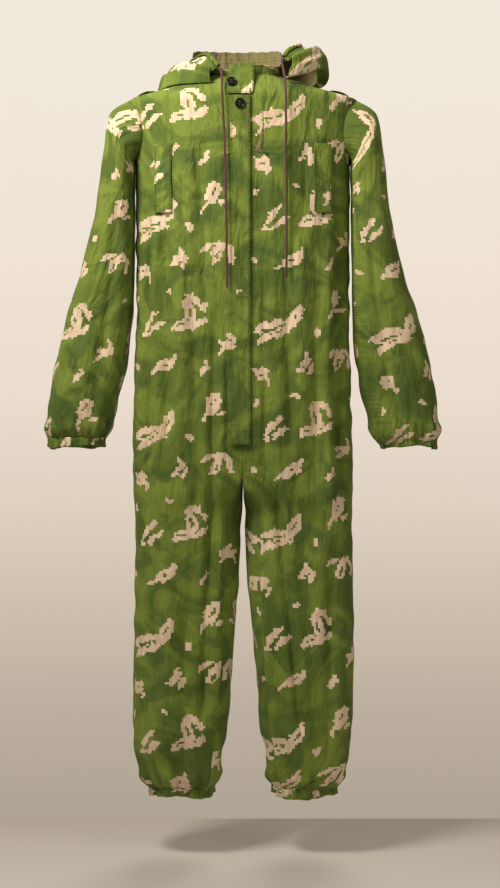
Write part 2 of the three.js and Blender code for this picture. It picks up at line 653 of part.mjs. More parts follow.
const headX = (depth) => Math.sqrt(ARMHOLE_RADIUS ** 2 - (ARMHOLE_RADIUS - depth) ** 2);
const sleeveInnerX = CHEST_HALF + SLEEVE_BODY_GAP;
const cuffX = SHOULDER_HALF + SLEEVE_SPREAD;
const sleeveTop = ARMHOLE_Z + ARMHOLE_RADIUS;

// sleeve section between two distances from the centre line, at a height
function between(inside, outside, z, b) {
  return { x: (inside + outside) / 2, a: (outside - inside) / 2, b, z };
}
const down = (share) => sleeveTop + (CUFF_TOP_Z - sleeveTop) * share;
const widest = cuffX - 16;
const sleeveSections = [
  between(SHOULDER_HALF - 8, SHOULDER_HALF + headX(9) * 0.86, sleeveTop - 9, BODY_HALF_DEPTH * 0.42),
  between(sleeveInnerX - 4, SHOULDER_HALF + headX(22) * 0.86, sleeveTop - 22, BODY_HALF_DEPTH * 0.56),
  between(sleeveInnerX - 4, SHOULDER_HALF + headX(46) * 0.78, sleeveTop - 46, BODY_HALF_DEPTH * 0.68),
  between(sleeveInnerX - 2, SHOULDER_HALF + ARMHOLE_RADIUS * 0.76, ARMHOLE_Z - 20, BODY_HALF_DEPTH * 0.78),
  between(sleeveInnerX, SHOULDER_HALF + 58, ARMHOLE_Z - ARMHOLE_RADIUS - 4, BODY_HALF_DEPTH * 0.83),
  between(sleeveInnerX, SHOULDER_HALF + 66, down(0.32), BODY_HALF_DEPTH * 0.83),
  between(sleeveInnerX + 1, SHOULDER_HALF + 104, down(0.52), BODY_HALF_DEPTH * 0.8),
  between(sleeveInnerX + 6, widest + SLEEVE_HALF_WIDTH * 0.74, down(0.69), BODY_HALF_DEPTH * 0.74),
  between(widest - SLEEVE_HALF_WIDTH, widest + SLEEVE_HALF_WIDTH, down(0.83), BODY_HALF_DEPTH * 0.66),
  between(cuffX - SLEEVE_HALF_WIDTH, cuffX + SLEEVE_HALF_WIDTH * 0.86, down(0.92), BODY_HALF_DEPTH * 0.6),
  between(cuffX - CUFF_HALF_WIDTH * 1.22, cuffX + CUFF_HALF_WIDTH * 1.2, down(0.975), CUFF_HALF_DEPTH * 1.2),
  between(cuffX - CUFF_HALF_WIDTH, cuffX + CUFF_HALF_WIDTH, CUFF_TOP_Z, CUFF_HALF_DEPTH),
];

const mirrored = (sections, sign) => sections.map((s) => ({ ...s, x: sign * s.x }));
for (const { side, sign } of sides) {
  const limb = mirrored(sleeveSections, sign);
  const head = armhole(sign, 0);
  const outer = toSolid(loft(limb, 20)).add(bodyOuter.intersect(head));
  const inner = toSolid(loft(inward(limb, { openTop: false, openBottom: true }), 20))
    .add(bodyInner.intersect(armhole(sign, CLOTH)));
  const shell = outer.subtract(inner);
  addPiece(`${side}_sleeve_front`, shell.intersect(frontHalf), camouflage());
  addPiece(`${side}_sleeve_back`, shell.intersect(backHalf), camouflage());
  const hemTop = CUFF_TOP_Z - SEAT_GAP;
  addPiece(`${side}_cuff_hem`, hemRing(CUFF_HALF_WIDTH, CUFF_HALF_DEPTH, hemTop, sign * cuffX), camouflage());
  addPiece(`${side}_cuff_elastic`, elasticRing(CUFF_HALF_WIDTH, CUFF_HALF_DEPTH, hemTop, sign * cuffX),
    elasticBraid());
}

const legInnerX = SEAM_GAP + 2;
const legOuterX = HIP_HALF - CLOTH - LEG_SIDE_CLEARANCE;
const legCentreX = (legInnerX + legOuterX) / 2;
const ankleX = legCentreX + 14;
const below = (share) => LEG_TOP_Z + (ANKLE_TOP_Z - LEG_TOP_Z) * share;
const legSections = [
  between(legInnerX, legOuterX, LEG_TOP_Z, LEG_HALF_DEPTH),
  between(legInnerX + 6, legOuterX + 2, below(0.3), LEG_HALF_DEPTH),
  between(legInnerX + 22, legOuterX + 4, below(0.6), LEG_HALF_DEPTH + 6),
  between(legInnerX + 34, legOuterX + 2, below(0.82), LEG_HALF_DEPTH + 4),
  between(legInnerX + 44, legOuterX - 8, below(0.92), LEG_HALF_DEPTH - 4),
  between(ankleX - ANKLE_HALF_WIDTH * 1.16, ankleX + ANKLE_HALF_WIDTH * 1.16, below(0.98), ANKLE_HALF_DEPTH * 1.18),
  between(ankleX - ANKLE_HALF_WIDTH, ankleX + ANKLE_HALF_WIDTH, ANKLE_TOP_Z, ANKLE_HALF_DEPTH),
];
for (const { side, sign } of sides) {
  const sections = mirrored(legSections, sign);
  const shell = toSolid(loft(sections)).subtract(toSolid(loft(inward(sections, { openTop: true, openBottom: true }))));
  addPiece(`${side}_leg_front`, shell.intersect(frontHalf), camouflage());
  addPiece(`${side}_leg_back`, shell.intersect(backHalf), camouflage());
  const hemTop = ANKLE_TOP_Z - SEAT_GAP;
  addPiece(`${side}_ankle_hem`, hemRing(ANKLE_HALF_WIDTH, ANKLE_HALF_DEPTH, hemTop, sign * ankleX), camouflage());
  addPiece(`${side}_ankle_elastic`, elasticRing(ANKLE_HALF_WIDTH, ANKLE_HALF_DEPTH, hemTop, sign * ankleX),
    elasticBraid());
}

export default coverall;
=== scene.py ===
"""Looks of the hooded camouflage coverall: one-piece cotton coverall hung by its shoulders."""
import bpy, bmesh, json, math
import numpy as np
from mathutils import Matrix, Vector, noise


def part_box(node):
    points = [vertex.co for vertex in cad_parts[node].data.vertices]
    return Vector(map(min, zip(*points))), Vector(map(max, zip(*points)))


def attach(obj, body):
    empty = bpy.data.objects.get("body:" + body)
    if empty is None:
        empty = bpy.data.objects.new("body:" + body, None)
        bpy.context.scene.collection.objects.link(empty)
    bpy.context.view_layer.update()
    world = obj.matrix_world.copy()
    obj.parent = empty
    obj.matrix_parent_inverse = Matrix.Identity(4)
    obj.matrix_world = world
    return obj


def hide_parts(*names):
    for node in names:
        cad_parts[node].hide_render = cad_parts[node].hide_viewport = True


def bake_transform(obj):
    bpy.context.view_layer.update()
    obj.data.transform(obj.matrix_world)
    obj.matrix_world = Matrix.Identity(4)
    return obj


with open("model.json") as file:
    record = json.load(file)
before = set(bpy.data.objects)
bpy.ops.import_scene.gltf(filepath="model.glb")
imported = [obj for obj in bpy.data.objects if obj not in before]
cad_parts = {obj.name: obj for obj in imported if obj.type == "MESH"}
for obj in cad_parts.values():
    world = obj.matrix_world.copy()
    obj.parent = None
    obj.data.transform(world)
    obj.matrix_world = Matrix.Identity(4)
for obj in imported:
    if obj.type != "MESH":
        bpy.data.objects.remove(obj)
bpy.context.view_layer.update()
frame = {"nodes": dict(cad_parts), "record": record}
nodes = frame["nodes"]
scene = bpy.context.scene
scene.view_settings.view_transform = "Standard"
MM = 0.001

# ---------------------------------------------------------------- camera, level with the coverall's middle
FRAME_HEIGHT = 1.865          # metres seen from top to bottom at the coverall
CAMERA_AWAY = 3.4
camera_data = bpy.data.cameras.new("camera")
camera_data.sensor_width = 36
camera_data.lens = 36 * CAMERA_AWAY / FRAME_HEIGHT
camera = bpy.data.objects.new("camera", camera_data)
camera.location = (0.0147, -CAMERA_AWAY, -0.764)
camera.rotation_euler = (math.radians(90), 0, 0)
scene.collection.objects.link(camera)
scene.camera = camera


# ---------------------------------------------------------------- small tools
def smooth(t):
    """From 0 to 1 with soft ends, and level outside them."""
    t = np.clip(t, 0.0, 1.0)
    return t * t * (3 - 2 * t)


def along(points, count):
    """A smooth line through the points, as count points evenly spaced along it."""
    p = np.array(points, float)
    p = np.vstack([2 * p[0] - p[1], p, 2 * p[-1] - p[-2]])
    fine = []
    for k in range(1, len(p) - 2):
        a, b, c, d = p[k - 1], p[k], p[k + 1], p[k + 2]
        for t in np.linspace(0, 1, 24, endpoint=False):
            fine.append(0.5 * (2 * b + (c - a) * t + (2 * a - 5 * b + 4 * c - d) * t ** 2
                               + (3 * b - a - 3 * c + d) * t ** 3))
    return even(np.array(fine + [p[-2]]), count)


def run_of(points):
    """How far along a line each of its points lies."""
    return np.concatenate([[0], np.cumsum(np.linalg.norm(np.diff(points, axis=0), axis=1))])


def even(line, count):
    """The same line as count points evenly spaced along it."""
    return shares_of(line, run_of(line), np.linspace(0, 1, count))


def shares_of(line, run, shares):
    """The points that lie at shares of a line's length."""
    at = np.asarray(shares) * run[-1]
    return np.stack([np.interp(at, run, line[:, k]) for k in range(line.shape[1])], axis=-1)


def wander(x, y, z=0.0):
    """Smooth noise from -1 to 1, the same on every run."""
    return noise.noise(Vector((x, y, z)))


def add_grid(bm, points, places):
    """A grid moved to points[i, j], whose UV is its place on the flat cloth, in metres."""
    nu, nv = points.shape[0] - 1, points.shape[1] - 1
    verts = bmesh.ops.create_grid(bm, x_segments=nu, y_segments=nv, size=1)["verts"]
    layer = bm.loops.layers.uv.get("UVMap") or bm.loops.layers.uv.new("UVMap")
    seat = {v: (round((v.co.x + 1) / 2 * nu), round((v.co.y + 1) / 2 * nv)) for v in verts}
    for v, ij in seat.items():
        v.co = points[ij]
    for f in {f for v in verts for f in v.link_faces}:
        for corner in f.loops:
            corner[layer].uv = places[seat[corner.vert]]
    bm.normal_update()
    return verts


def face_away(bm, middle):
    """Turns all faces to point away from middle(z)."""
    bmesh.ops.recalc_face_normals(bm, faces=bm.faces)
    total = 0.0
    for f in bm.faces:
        c = f.calc_center_median()
        total += (c - Vector(middle(c.z))).dot(f.normal) * f.calc_area()
    if total < 0:
        bmesh.ops.reverse_faces(bm, faces=bm.faces[:])


def finish_mesh(bm, name, *materials, shade=True):
    """The bmesh as an object at the origin, with its materials."""
    mesh = bpy.data.meshes.new(name)
    bm.to_mesh(mesh)
    bm.free()
    for m in materials:
        mesh.materials.append(m)
    if shade:
        mesh.shade_smooth()
    obj = bpy.data.objects.new(name, mesh)
    scene.collection.objects.link(obj)
    return obj


def thicken(obj, wall, inner_material=1):
    """Gives cloth its thickness on the inner side."""
    solid = obj.modifiers.new("cloth thickness", "SOLIDIFY")
    solid.thickness = wall
    solid.offset = -1
    solid.material_offset = inner_material


def co_of(obj):
    """The places of a mesh's points, in metres."""
    co = np.zeros(len(obj.data.vertices) * 3)
    obj.data.vertices.foreach_get("co", co)
    return co.reshape(-1, 3)


def put_co(obj, co):
    """Moves a mesh's points to these places."""
    obj.data.vertices.foreach_set("co", co.ravel())
    obj.data.update()


# ---------------------------------------------------------------- materials
def colour(hex_text):
    """sRGB hex to linear."""
    c = [int(hex_text[k:k + 2], 16) / 255 for k in (1, 3, 5)]
    return [v / 12.92 if v <= 0.04045 else ((v + 0.055) / 1.055) ** 2.4 for v in c] + [1]


def new_material(name):
    m = bpy.data.materials.new(name)
    m.use_nodes = True
    m.node_tree.nodes.clear()
    return m, m.node_tree


def node(tree, kind, inputs=None, **settings):
    """Adds a node with its settings, and its inputs as values or links."""
    n = tree.nodes.new(kind)
    for key, value in settings.items():
        setattr(n, key, value)
    for key, value in (inputs or {}).items():
        if isinstance(value, bpy.types.NodeSocket):
            tree.links.new(value, n.inputs[key])
        else:
            n.inputs[key].default_value = value
    return n


def maths(tree, what, a, b=0.0, c=0.0):
    """A sum done by a node."""
    return node(tree, "ShaderNodeMath", {0: a, 1: b, 2: c}, operation=what).outputs[0]


def mixed(tree, share, a, b, blend="MIX"):
    """Two colours mixed by share."""
    n = node(tree, "ShaderNodeMix", {0: share, 6: a, 7: b}, data_type="RGBA", blend_type=blend)
    return n.outputs[2]


def shader_out(tree, colour_in, bump_in, roughness, sheen=0.0, sheen_tint=None, ior=1.5):
    """The surface, with what is the same all over set on its own sockets."""
    principled = node(tree, "ShaderNodeBsdfPrincipled", {
        "Base Color": colour_in, "Roughness": roughness, "Sheen Weight": sheen,
        "Sheen Roughness": 0.55, "IOR": ior})
    if sheen_tint:
        principled.inputs["Sheen Tint"].default_value = sheen_tint
    if bump_in is not None:
        tree.links.new(bump_in, principled.inputs["Normal"])
    node(tree, "ShaderNodeOutputMaterial", {"Surface": principled.outputs[0]})
    return principled


def cloth_in_mm(tree):
    """Where a point lies on the flat cloth, in millimetres."""
    uv = node(tree, "ShaderNodeUVMap", uv_map="UVMap").outputs[0]
    return node(tree, "ShaderNodeVectorMath", {0: uv, "Scale": 1000.0}, operation="SCALE").outputs[0]


# The print repeats every 260 by 430 mm, each column dropped by half a repeat. Its edges step by 4.2 mm.
PRINT_WIDTH, PRINT_HEIGHT, PRINT_CELL = 260, 430, 4.2
EDGE_WANDER = 13               # how far a blot's outline strays, mm
SPECKS, BLOT_EDGE = 0.26, 1.32  # how much single cells stray, and where a blot ends, in half widths
# blots of the print: (x, y, half length, half width, turn in degrees, bend), mm, from the repeat's low corner
BLOTS = [
    # two long feathers and a leaf on a stem
    (52, 338, 33, 6.5, 14, 4.0), (60, 318, 34, 7.5, 22, 5.0), (104, 352, 25, 10, 58, -3.0),
    (88, 326, 13, 3.0, 52, 0.0), (30, 322, 10, 4, -20, 0),
    # broad leaf with a tail
    (196, 392, 20, 12.5, 66, 2.0), (181, 366, 15, 3.6, 60, 2.0), (214, 372, 9, 4, 20, 0),
    # arch
    (205, 268, 9, 20, -22, 0.0), (226, 280, 14, 5, -52, 0.0), (186, 282, 16, 4.5, 30, 2.0),
    (232, 262, 5, 11, 10, 0),
    # running blot
    (128, 262, 12, 6, 38, 0.0), (139, 250, 5, 11, -24, 0.0), (118, 248, 8, 3.5, 8, 0.0),
    (129, 274, 4, 6, 0, 0),
    # diamond leaf
    (36, 236, 14, 10, 42, 0.0), (36, 236, 17, 5, -40, 0.0), (50, 220, 7, 3, 65, 0),
    # swan
    (150, 150, 10, 24, 18, 0.0), (160, 176, 15, 6, -28, 3.0), (136, 122, 22, 9, 8, 5.0),
    (173, 128, 12, 6, 40, 0.0), (178, 158, 6, 8, 0, 0),
    # feather pair, small
    (58, 132, 24, 5.5, 48, 3.0), (74, 118, 19, 5.5, 36, 3.0), (46, 104, 7, 4, 0, 0),
    # three-pointed blot
    (224, 82, 14, 6.5, -12, 0.0), (233, 94, 5, 11, 30, 0.0), (214, 70, 9, 4, 50, 0.0),
    # low leaf and its twig
    (98, 40, 19, 10, 30, 0.0), (76, 28, 15, 3.6, 24, 2.0), (117, 56, 7, 4, 60, 0),
    # small ones
    (176, 28, 9, 5, 60, 0.0), (184, 40, 4, 8, 12, 0.0), (20, 40, 8, 4.5, -30, 0.0),
    (24, 178, 8, 4, 74, 0.0), (106, 192, 7, 3.6, -14, 0.0), (246, 190, 6, 4, 30, 0), (150, 322, 6, 8, 0, 0),
]
# gaps of ground inside the blots
GAPS = [(106, 354, 13, 2.6, 58, -2.0), (197, 394, 11, 2.6, 66, 0.0), (204, 262, 3.4, 11, -22, 0.0),
        (150, 148, 3.5, 13, 18, 0.0), (132, 122, 12, 2.4, 8, 3.0), (98, 41, 10, 2.4, 30, 0.0),
        (62, 321, 20, 1.8, 20, 3.0), (36, 236, 5, 3, 10, 0)]


def blot_distance(tree, spot, x, y, length, width, turn, bend):
    """How far spot is from the middle of a bent oval, 1 on its outline."""
    own = node(tree, "ShaderNodeMapping", {
        "Vector": spot, "Location": (x, y, 0), "Rotation": (0, 0, math.radians(turn)),
        "Scale": (length, width, 1)}, vector_type="TEXTURE").outputs[0]
    if bend:
        parts = node(tree, "ShaderNodeSeparateXYZ", {0: own})
        square = maths(tree, "MULTIPLY", parts.outputs[0], parts.outputs[0])
        y_bent = maths(tree, "MULTIPLY_ADD", square, bend / width, parts.outputs[1])
        own = node(tree, "ShaderNodeCombineXYZ", {0: parts.outputs[0], 1: y_bent}).outputs[0]
    return node(tree, "ShaderNodeVectorMath", {0: own}, operation="LENGTH").outputs["Value"]


def printed_blots(tree, cloth_mm):
    """1 where the beige print is, 0 on the green ground: the edges step by whole cells of the print."""
    cells = node(tree, "ShaderNodeVectorMath", {0: cloth_mm, 1: (PRINT_CELL, PRINT_CELL, PRINT_CELL)},
                 operation="SNAP").outputs[0]
    rough = node(tree, "ShaderNodeTexNoise", {"Vector": cells, "Scale": 0.05, "Detail": 2.0,
                                              "Roughness": 0.6}, noise_dimensions="2D")
    push = node(tree, "ShaderNodeVectorMath", {0: rough.outputs["Color"], 1: (-0.5, -0.5, -0.5)},
                operation="ADD").outputs[0]
    moved = node(tree, "ShaderNodeVectorMath", {0: push, 1: (EDGE_WANDER, EDGE_WANDER, 0), 2: cells},
                 operation="MULTIPLY_ADD").outputs[0]
    parts = node(tree, "ShaderNodeSeparateXYZ", {0: moved})
    column = maths(tree, "FLOOR", maths(tree, "DIVIDE", parts.outputs[0], PRINT_WIDTH))
    x = maths(tree, "FLOORED_MODULO", parts.outputs[0], PRINT_WIDTH)
    drop = maths(tree, "MULTIPLY_ADD", column, PRINT_HEIGHT * 0.5, parts.outputs[1])
    y = maths(tree, "FLOORED_MODULO", drop, PRINT_HEIGHT)
    spot = node(tree, "ShaderNodeCombineXYZ", {0: x, 1: y}).outputs[0]
    nearest = None
    for blot in BLOTS:
        far = blot_distance(tree, spot, *blot)
        nearest = far if nearest is None else maths(tree, "MINIMUM", nearest, far)
    for gap in GAPS:
        far = maths(tree, "SUBTRACT", 2.0, blot_distance(tree, spot, *gap))
        nearest = maths(tree, "MAXIMUM", nearest, far)
    speck = node(tree, "ShaderNodeTexWhiteNoise", {"Vector": cells}, noise_dimensions="2D").outputs["Value"]
    ragged = maths(tree, "MULTIPLY_ADD", speck, SPECKS, nearest)
    return maths(tree, "LESS_THAN", ragged, BLOT_EDGE)


def cloth_bump(tree, cloth_mm):
    """Crumples and plain weave. The threads are 0.5 mm apart, and drawn 1.5 mm apart so that they show."""
    hanging = node(tree, "ShaderNodeMapping", {"Vector": cloth_mm, "Rotation": (0, 0, 0.12),
                                               "Scale": (0.034, 0.0095, 1)}).outputs[0]
    crumple = node(tree, "ShaderNodeTexNoise", {"Vector": hanging, "Scale": 1.0, "Detail": 4.0,
                                                "Roughness": 0.5, "Distortion": 0.25}, noise_dimensions="2D")
    first = node(tree, "ShaderNodeBump", {"Strength": 0.95, "Distance": 0.013, "Height": crumple.outputs[0]})
    across = node(tree, "ShaderNodeTexWave", {"Vector": cloth_mm, "Scale": 0.21, "Distortion": 0.6,
                                              "Detail": 1.0}, wave_type="BANDS", bands_direction="X")
    down = node(tree, "ShaderNodeTexWave", {"Vector": cloth_mm, "Scale": 0.21, "Distortion": 0.6,
                                            "Detail": 1.0}, wave_type="BANDS", bands_direction="Y")
    weave = maths(tree, "MULTIPLY", across.outputs["Fac"], down.outputs["Fac"])
    return node(tree, "ShaderNodeBump", {"Strength": 0.35, "Distance": 0.0006, "Height": weave,
                                         "Normal": first.outputs[0]}).outputs[0]


PUCKER_PITCH = 0.0085          # metres from one pucker to the next


def gathers(tree, normal):
    """Small puckers across the seams, where the mesh's gather value says so."""
    strength = node(tree, "ShaderNodeAttribute", attribute_name="gather").outputs["Fac"]
    run = node(tree, "ShaderNodeAttribute", attribute_name="run").outputs["Fac"]
    jitter = node(tree, "ShaderNodeTexNoise", {"W": run, "Scale": 60.0, "Detail": 3.0}, noise_dimensions="1D")
    uneven = maths(tree, "MULTIPLY", jitter.outputs[0], 16.0)
    phase = maths(tree, "MULTIPLY_ADD", run, 2 * math.pi / PUCKER_PITCH, uneven)
    wave = maths(tree, "MULTIPLY", maths(tree, "SINE", phase), strength)
    return node(tree, "ShaderNodeBump", {"Strength": 0.8, "Distance": 0.0011, "Height": wave,
                                         "Normal": normal}).outputs[0]


def plain_weave_cotton_print():
    """Plain-weave cotton sheeting, roller printed on one side: matt, soft, faded where it rubs, with
    a mottled green ground and sharp stepped beige blots."""
    m, tree = new_material("printed plain-weave cotton")
    mm = cloth_in_mm(tree)
    cloud = node(tree, "ShaderNodeTexNoise", {"Vector": mm, "Scale": 0.0085, "Detail": 3.0, "Roughness": 0.5,
                                              "Distortion": 1.2}, noise_dimensions="2D").outputs[0]
    leaf = node(tree, "ShaderNodeMapRange", {"Value": cloud, "From Min": 0.40, "From Max": 0.58}).outputs[0]
    ground = mixed(tree, leaf, colour("#576d22"), colour("#7b8f33"))
    deep = node(tree, "ShaderNodeTexNoise", {"Vector": mm, "Scale": 0.014, "Detail": 2.0, "Distortion": 0.6},
                noise_dimensions="2D").outputs[0]
    deep = node(tree, "ShaderNodeMapRange", {"Value": deep, "From Min": 0.56, "From Max": 0.66,
                                             "To Max": 0.55}).outputs[0]
    ground = mixed(tree, deep, ground, colour("#476127"))
    beige_vary = node(tree, "ShaderNodeTexNoise", {"Vector": mm, "Scale": 0.05, "Detail": 3.0},
                      noise_dimensions="2D").outputs[0]
    beige = mixed(tree, beige_vary, colour("#e3c4a2"), colour("#fbe6c9"))
    printed = mixed(tree, printed_blots(tree, mm), ground, beige)
    # slubs: thicker threads, 1 to 3 mm wide and up to 60 mm long, paler than the rest
    threads = node(tree, "ShaderNodeMapping", {"Vector": mm, "Scale": (0.55, 0.022, 1)}).outputs[0]
    slub = node(tree, "ShaderNodeTexNoise", {"Vector": threads, "Scale": 1.0, "Detail": 2.0},
                noise_dimensions="2D").outputs[0]
    slub = node(tree, "ShaderNodeMapRange", {"Value": slub, "From Min": 0.35, "From Max": 0.75,
                                             "To Min": 0.90, "To Max": 1.10}).outputs[0]
    shade = node(tree, "ShaderNodeCombineColor", {0: slub, 1: slub, 2: slub}).outputs[0]
    woven = mixed(tree, 1.0, printed, shade, "MULTIPLY")
    shader_out(tree, woven, gathers(tree, cloth_bump(tree, mm)), 0.88, 0.12, colour("#9aa86a"))
    return m


def khaki_reverse():
    """The unprinted side of the same cotton: khaki, matt, a little mottled."""
    m, tree = new_material("unprinted khaki cotton")
    mm = cloth_in_mm(tree)
    mottle = node(tree, "ShaderNodeTexNoise", {"Vector": mm, "Scale": 0.012, "Detail": 3.0},
                 noise_dimensions="2D").outputs[0]
    base = mixed(tree, mottle, colour("#948a58"), colour("#7a7144"))
    shader_out(tree, base, cloth_bump(tree, mm), 0.92, 0.1)
    return m


def braided_lace():
    """Flat braided cotton lace, dyed maroon and faded: diagonal strands about 1 mm wide."""
    m, tree = new_material("braided maroon cotton lace")
    mm = cloth_in_mm(tree)
    one = node(tree, "ShaderNodeTexWave", {"Vector": mm, "Scale": 0.16},
               bands_direction="DIAGONAL").outputs["Fac"]
    turned = node(tree, "ShaderNodeMapping", {"Vector": mm, "Scale": (-1, 1, 1)}).outputs[0]
    two = node(tree, "ShaderNodeTexWave", {"Vector": turned, "Scale": 0.16},
               bands_direction="DIAGONAL").outputs["Fac"]
    braid = maths(tree, "MAXIMUM", one, two)
    fade = node(tree, "ShaderNodeTexNoise", {"Vector": mm, "Scale": 0.03, "Detail": 4.0},
                noise_dimensions="2D").outputs[0]
    base = mixed(tree, fade, colour("#6c4148"), colour("#552d36"))
    # painted shade: the grooves between the strands are darkened
    painted_groove_shade = maths(tree, "MULTIPLY", maths(tree, "SUBTRACT", 1.0, braid), 0.7)
    base = mixed(tree, painted_groove_shade, base, colour("#40202a"))
    bump = node(tree, "ShaderNodeBump", {"Strength": 0.8, "Distance": 0.0008, "Height": braid}).outputs[0]
    shader_out(tree, base, bump, 0.9, 0.15)
    return m


def moulded_button_plastic():
    """Moulded urea button plastic, near black and polished, with scuffs that dull it."""
    m, tree = new_material("moulded black button plastic")
    place = node(tree, "ShaderNodeTexCoord").outputs["Object"]
    scuffs = node(tree, "ShaderNodeTexNoise", {"Vector": place, "Scale": 900.0, "Detail": 4.0}).outputs[0]
    swirl = node(tree, "ShaderNodeTexNoise", {"Vector": place, "Scale": 160.0, "Distortion": 2.0}).outputs[0]
    base = mixed(tree, swirl, colour("#050506"), colour("#121314"))
    rough = node(tree, "ShaderNodeMapRange", {"Value": scuffs, "To Min": 0.12, "To Max": 0.30}).outputs[0]
    bump = node(tree, "ShaderNodeBump", {"Strength": 0.15, "Distance": 0.0003, "Height": scuffs}).outputs[0]
    shader_out(tree, base, bump, rough, ior=1.55)
    return m


def sewing_thread():
    """Twisted cotton sewing thread, khaki green: twist 0.8 mm."""
    m, tree = new_material("twisted cotton sewing thread")
    place = node(tree, "ShaderNodeTexCoord").outputs["Object"]
    twist = node(tree, "ShaderNodeTexWave", {"Vector": place, "Scale": 400.0},
                 bands_direction="DIAGONAL").outputs["Fac"]
    # the thread's khaki green, painted lighter on the strands of the twist and with painted shade between
    # them
    base = mixed(tree, twist, colour("#2c3413"), colour("#5d6430"))
    shader_out(tree, base, None, 0.8)
    return m


def lace_inside_casing():
    """The same maroon lace where it runs inside the hood's casing: strands 1 mm wide across its length."""
    m, tree = new_material("braided maroon cotton lace, cased")
    place = node(tree, "ShaderNodeTexCoord").outputs["Object"]
    strands = node(tree, "ShaderNodeTexWave", {"Vector": place, "Scale": 160.0},
                   bands_direction="DIAGONAL").outputs["Fac"]
    # the lace's maroon, painted lighter on the strands and with painted shade in the grooves between them
    base = mixed(tree, strands, colour("#40202a"), colour("#74464e"))
    bump = node(tree, "ShaderNodeBump", {"Strength": 0.6, "Distance": 0.0006, "Height": strands}).outputs[0]
    shader_out(tree, base, bump, 0.9)
    return m


def matt_floor_paint():
    """Matt painted studio floor: pale warm grey, with a fine roller texture 3 mm wide."""
    m, tree = new_material("matt painted floor")
    place = node(tree, "ShaderNodeTexCoord").outputs["Object"]
    roller = node(tree, "ShaderNodeTexNoise", {"Vector": place, "Scale": 330.0, "Detail": 2.0}).outputs[0]
    depth = node(tree, "ShaderNodeSeparateXYZ", {0: place}).outputs[1]
    # painted shade: the floor darkens towards the back, to the tone of the background behind it
    far = node(tree, "ShaderNodeMapRange", {"Value": depth, "From Min": -0.45, "From Max": 0.30}).outputs[0]
    near = mixed(tree, roller, colour("#d3d0ca"), colour("#dad7d1"))
    base = mixed(tree, far, near, colour("#bfb7b0"))
    bump = node(tree, "ShaderNodeBump", {"Strength": 0.1, "Distance": 0.0005, "Height": roller}).outputs[0]
    shader_out(tree, base, bump, 0.9)
    return m


camouflage = plain_weave_cotton_print()
floor_paint = matt_floor_paint()
cased_lace = lace_inside_casing()
khaki = khaki_reverse()
lace = braided_lace()
button_plastic = moulded_button_plastic()
thread = sewing_thread()

# ---------------------------------------------------------------- drawcords
RIGHT_CORD = [(-49.6, -74.3, 11.6), (-47, -76.6, 8), (-44.5, -82, 1), (-43, -90, -10), (-42.5, -97, -24),
              (-42, -103, -44), (-41, -106, -70), (-39, -106.5, -108), (-37, -106.5, -150),
              (-36, -106.5, -195),
              (-35, -106.5, -240), (-34, -106.5, -285), (-33, -106.5, -330), (-33, -106.5, -375),
              (-32, -106.5, -412), (-32, -106.5, -446)]
LEFT_CORD = [(83.7, -62.3, 33.5), (81.4, -64.8, 29.8), (80.4, -71, 22), (82, -80, 9), (85, -89, -9),
             (87, -96, -31), (88, -100, -57), (88, -101.5, -90), (88, -102, -130), (88, -102, -175),
             (89, -102, -220), (89, -102, -262), (89, -102, -304), (89, -102, -345), (89, -102, -385),
             (89, -102, -424)]
CORD_WIDTH, CORD_DEPTH = 5.0, 3.0


def lace_cord(name, route, turns):
    """A flat lace along the route, slowly turning, with a sealed tip."""
    path = along(route, 60) * MM
    around = 14
    girth = 2.6 * CORD_WIDTH * MM
    points = np.zeros((len(path), around + 1, 3))
    places = np.zeros((len(path), around + 1, 2))
    tangent = np.gradient(path, axis=0)
    tangent /= np.linalg.norm(tangent, axis=1)[:, None]
    run = run_of(path)
    for i, (p, t) in enumerate(zip(path, tangent)):
        side = np.cross(t, (0, 1, 0))
        side /= np.linalg.norm(side)
        front = np.cross(side, t)
        turn = math.radians(turns) * wander(run[i] * 9, len(name), 3.3)
        left = run[-1] - run[i]
        share = 0.55 if left < 0.0005 else 0.9 if left < 0.008 else 1.0
        share *= 1 + 0.06 * wander(run[i] * 60, 7.7)
        for j in range(around + 1):
            a = 2 * math.pi * j / around
            w, d = math.cos(a) * CORD_WIDTH / 2 * share, math.sin(a) * CORD_DEPTH / 2 * share
            x, y = w * math.cos(turn) - d * math.sin(turn), w * math.sin(turn) + d * math.cos(turn)
            points[i, j] = p + (side * x + front * y) * MM
            places[i, j] = (a / (2 * math.pi) * girth, run[i])
    bm = bmesh.new()
    add_grid(bm, points, places)
    bmesh.ops.remove_doubles(bm, verts=bm.verts, dist=1e-6)
    bmesh.ops.holes_fill(bm, edges=[e for e in bm.edges if e.is_boundary])
    bmesh.ops.recalc_face_normals(bm, faces=bm.faces)
    cord = finish_mesh(bm, name, lace)
    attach(cord, "torso")
    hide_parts(name.replace("lace", "drawcord"))
    return cord


lace_cord("lace_right", RIGHT_CORD, 25)
lace_cord("lace_left", LEFT_CORD, 40)

# ---------------------------------------------------------------- the cut of the coverall, mm
ROUNDNESS = 2.5
BODY_DEPTHS = [0, 15, 30, 45, 172, 334, 485, 602, 770, 879]
BODY_HALF_WIDTHS = [78, 132, 186, 240, 224, 222, 221, 226.5, 231, 231]
BODY_HALF_THICKS = [60, 74, 86, 95, 95, 95, 95, 95, 95, 84]
CHEST_Z, CROTCH_Z, ANKLE_Z = -160, -836, -1478
ARMHOLE_Z = -172               # the underarm
LEG_DEPTHS = [891, 1067, 1243, 1372, 1431, 1466, 1478]
LEG_INNER = [2.4, 8.4, 24, 36, 46, 52.7, 63.3]
LEG_OUTER = [228, 230, 232, 230, 220, 205.9, 195.3]
LEG_THICKS = [74, 74, 80, 78, 70, 59, 50]
INNER_SHARE = 0.235            # share of the leg's girth that is inside the inseams
HALF_COLUMNS, TOP_ROWS, BODY_ROWS, LEG_ROWS, GUSSET_COLUMNS = 40, 13, 52, 50, 12
SIDES = [("right", -1), ("left", 1)]
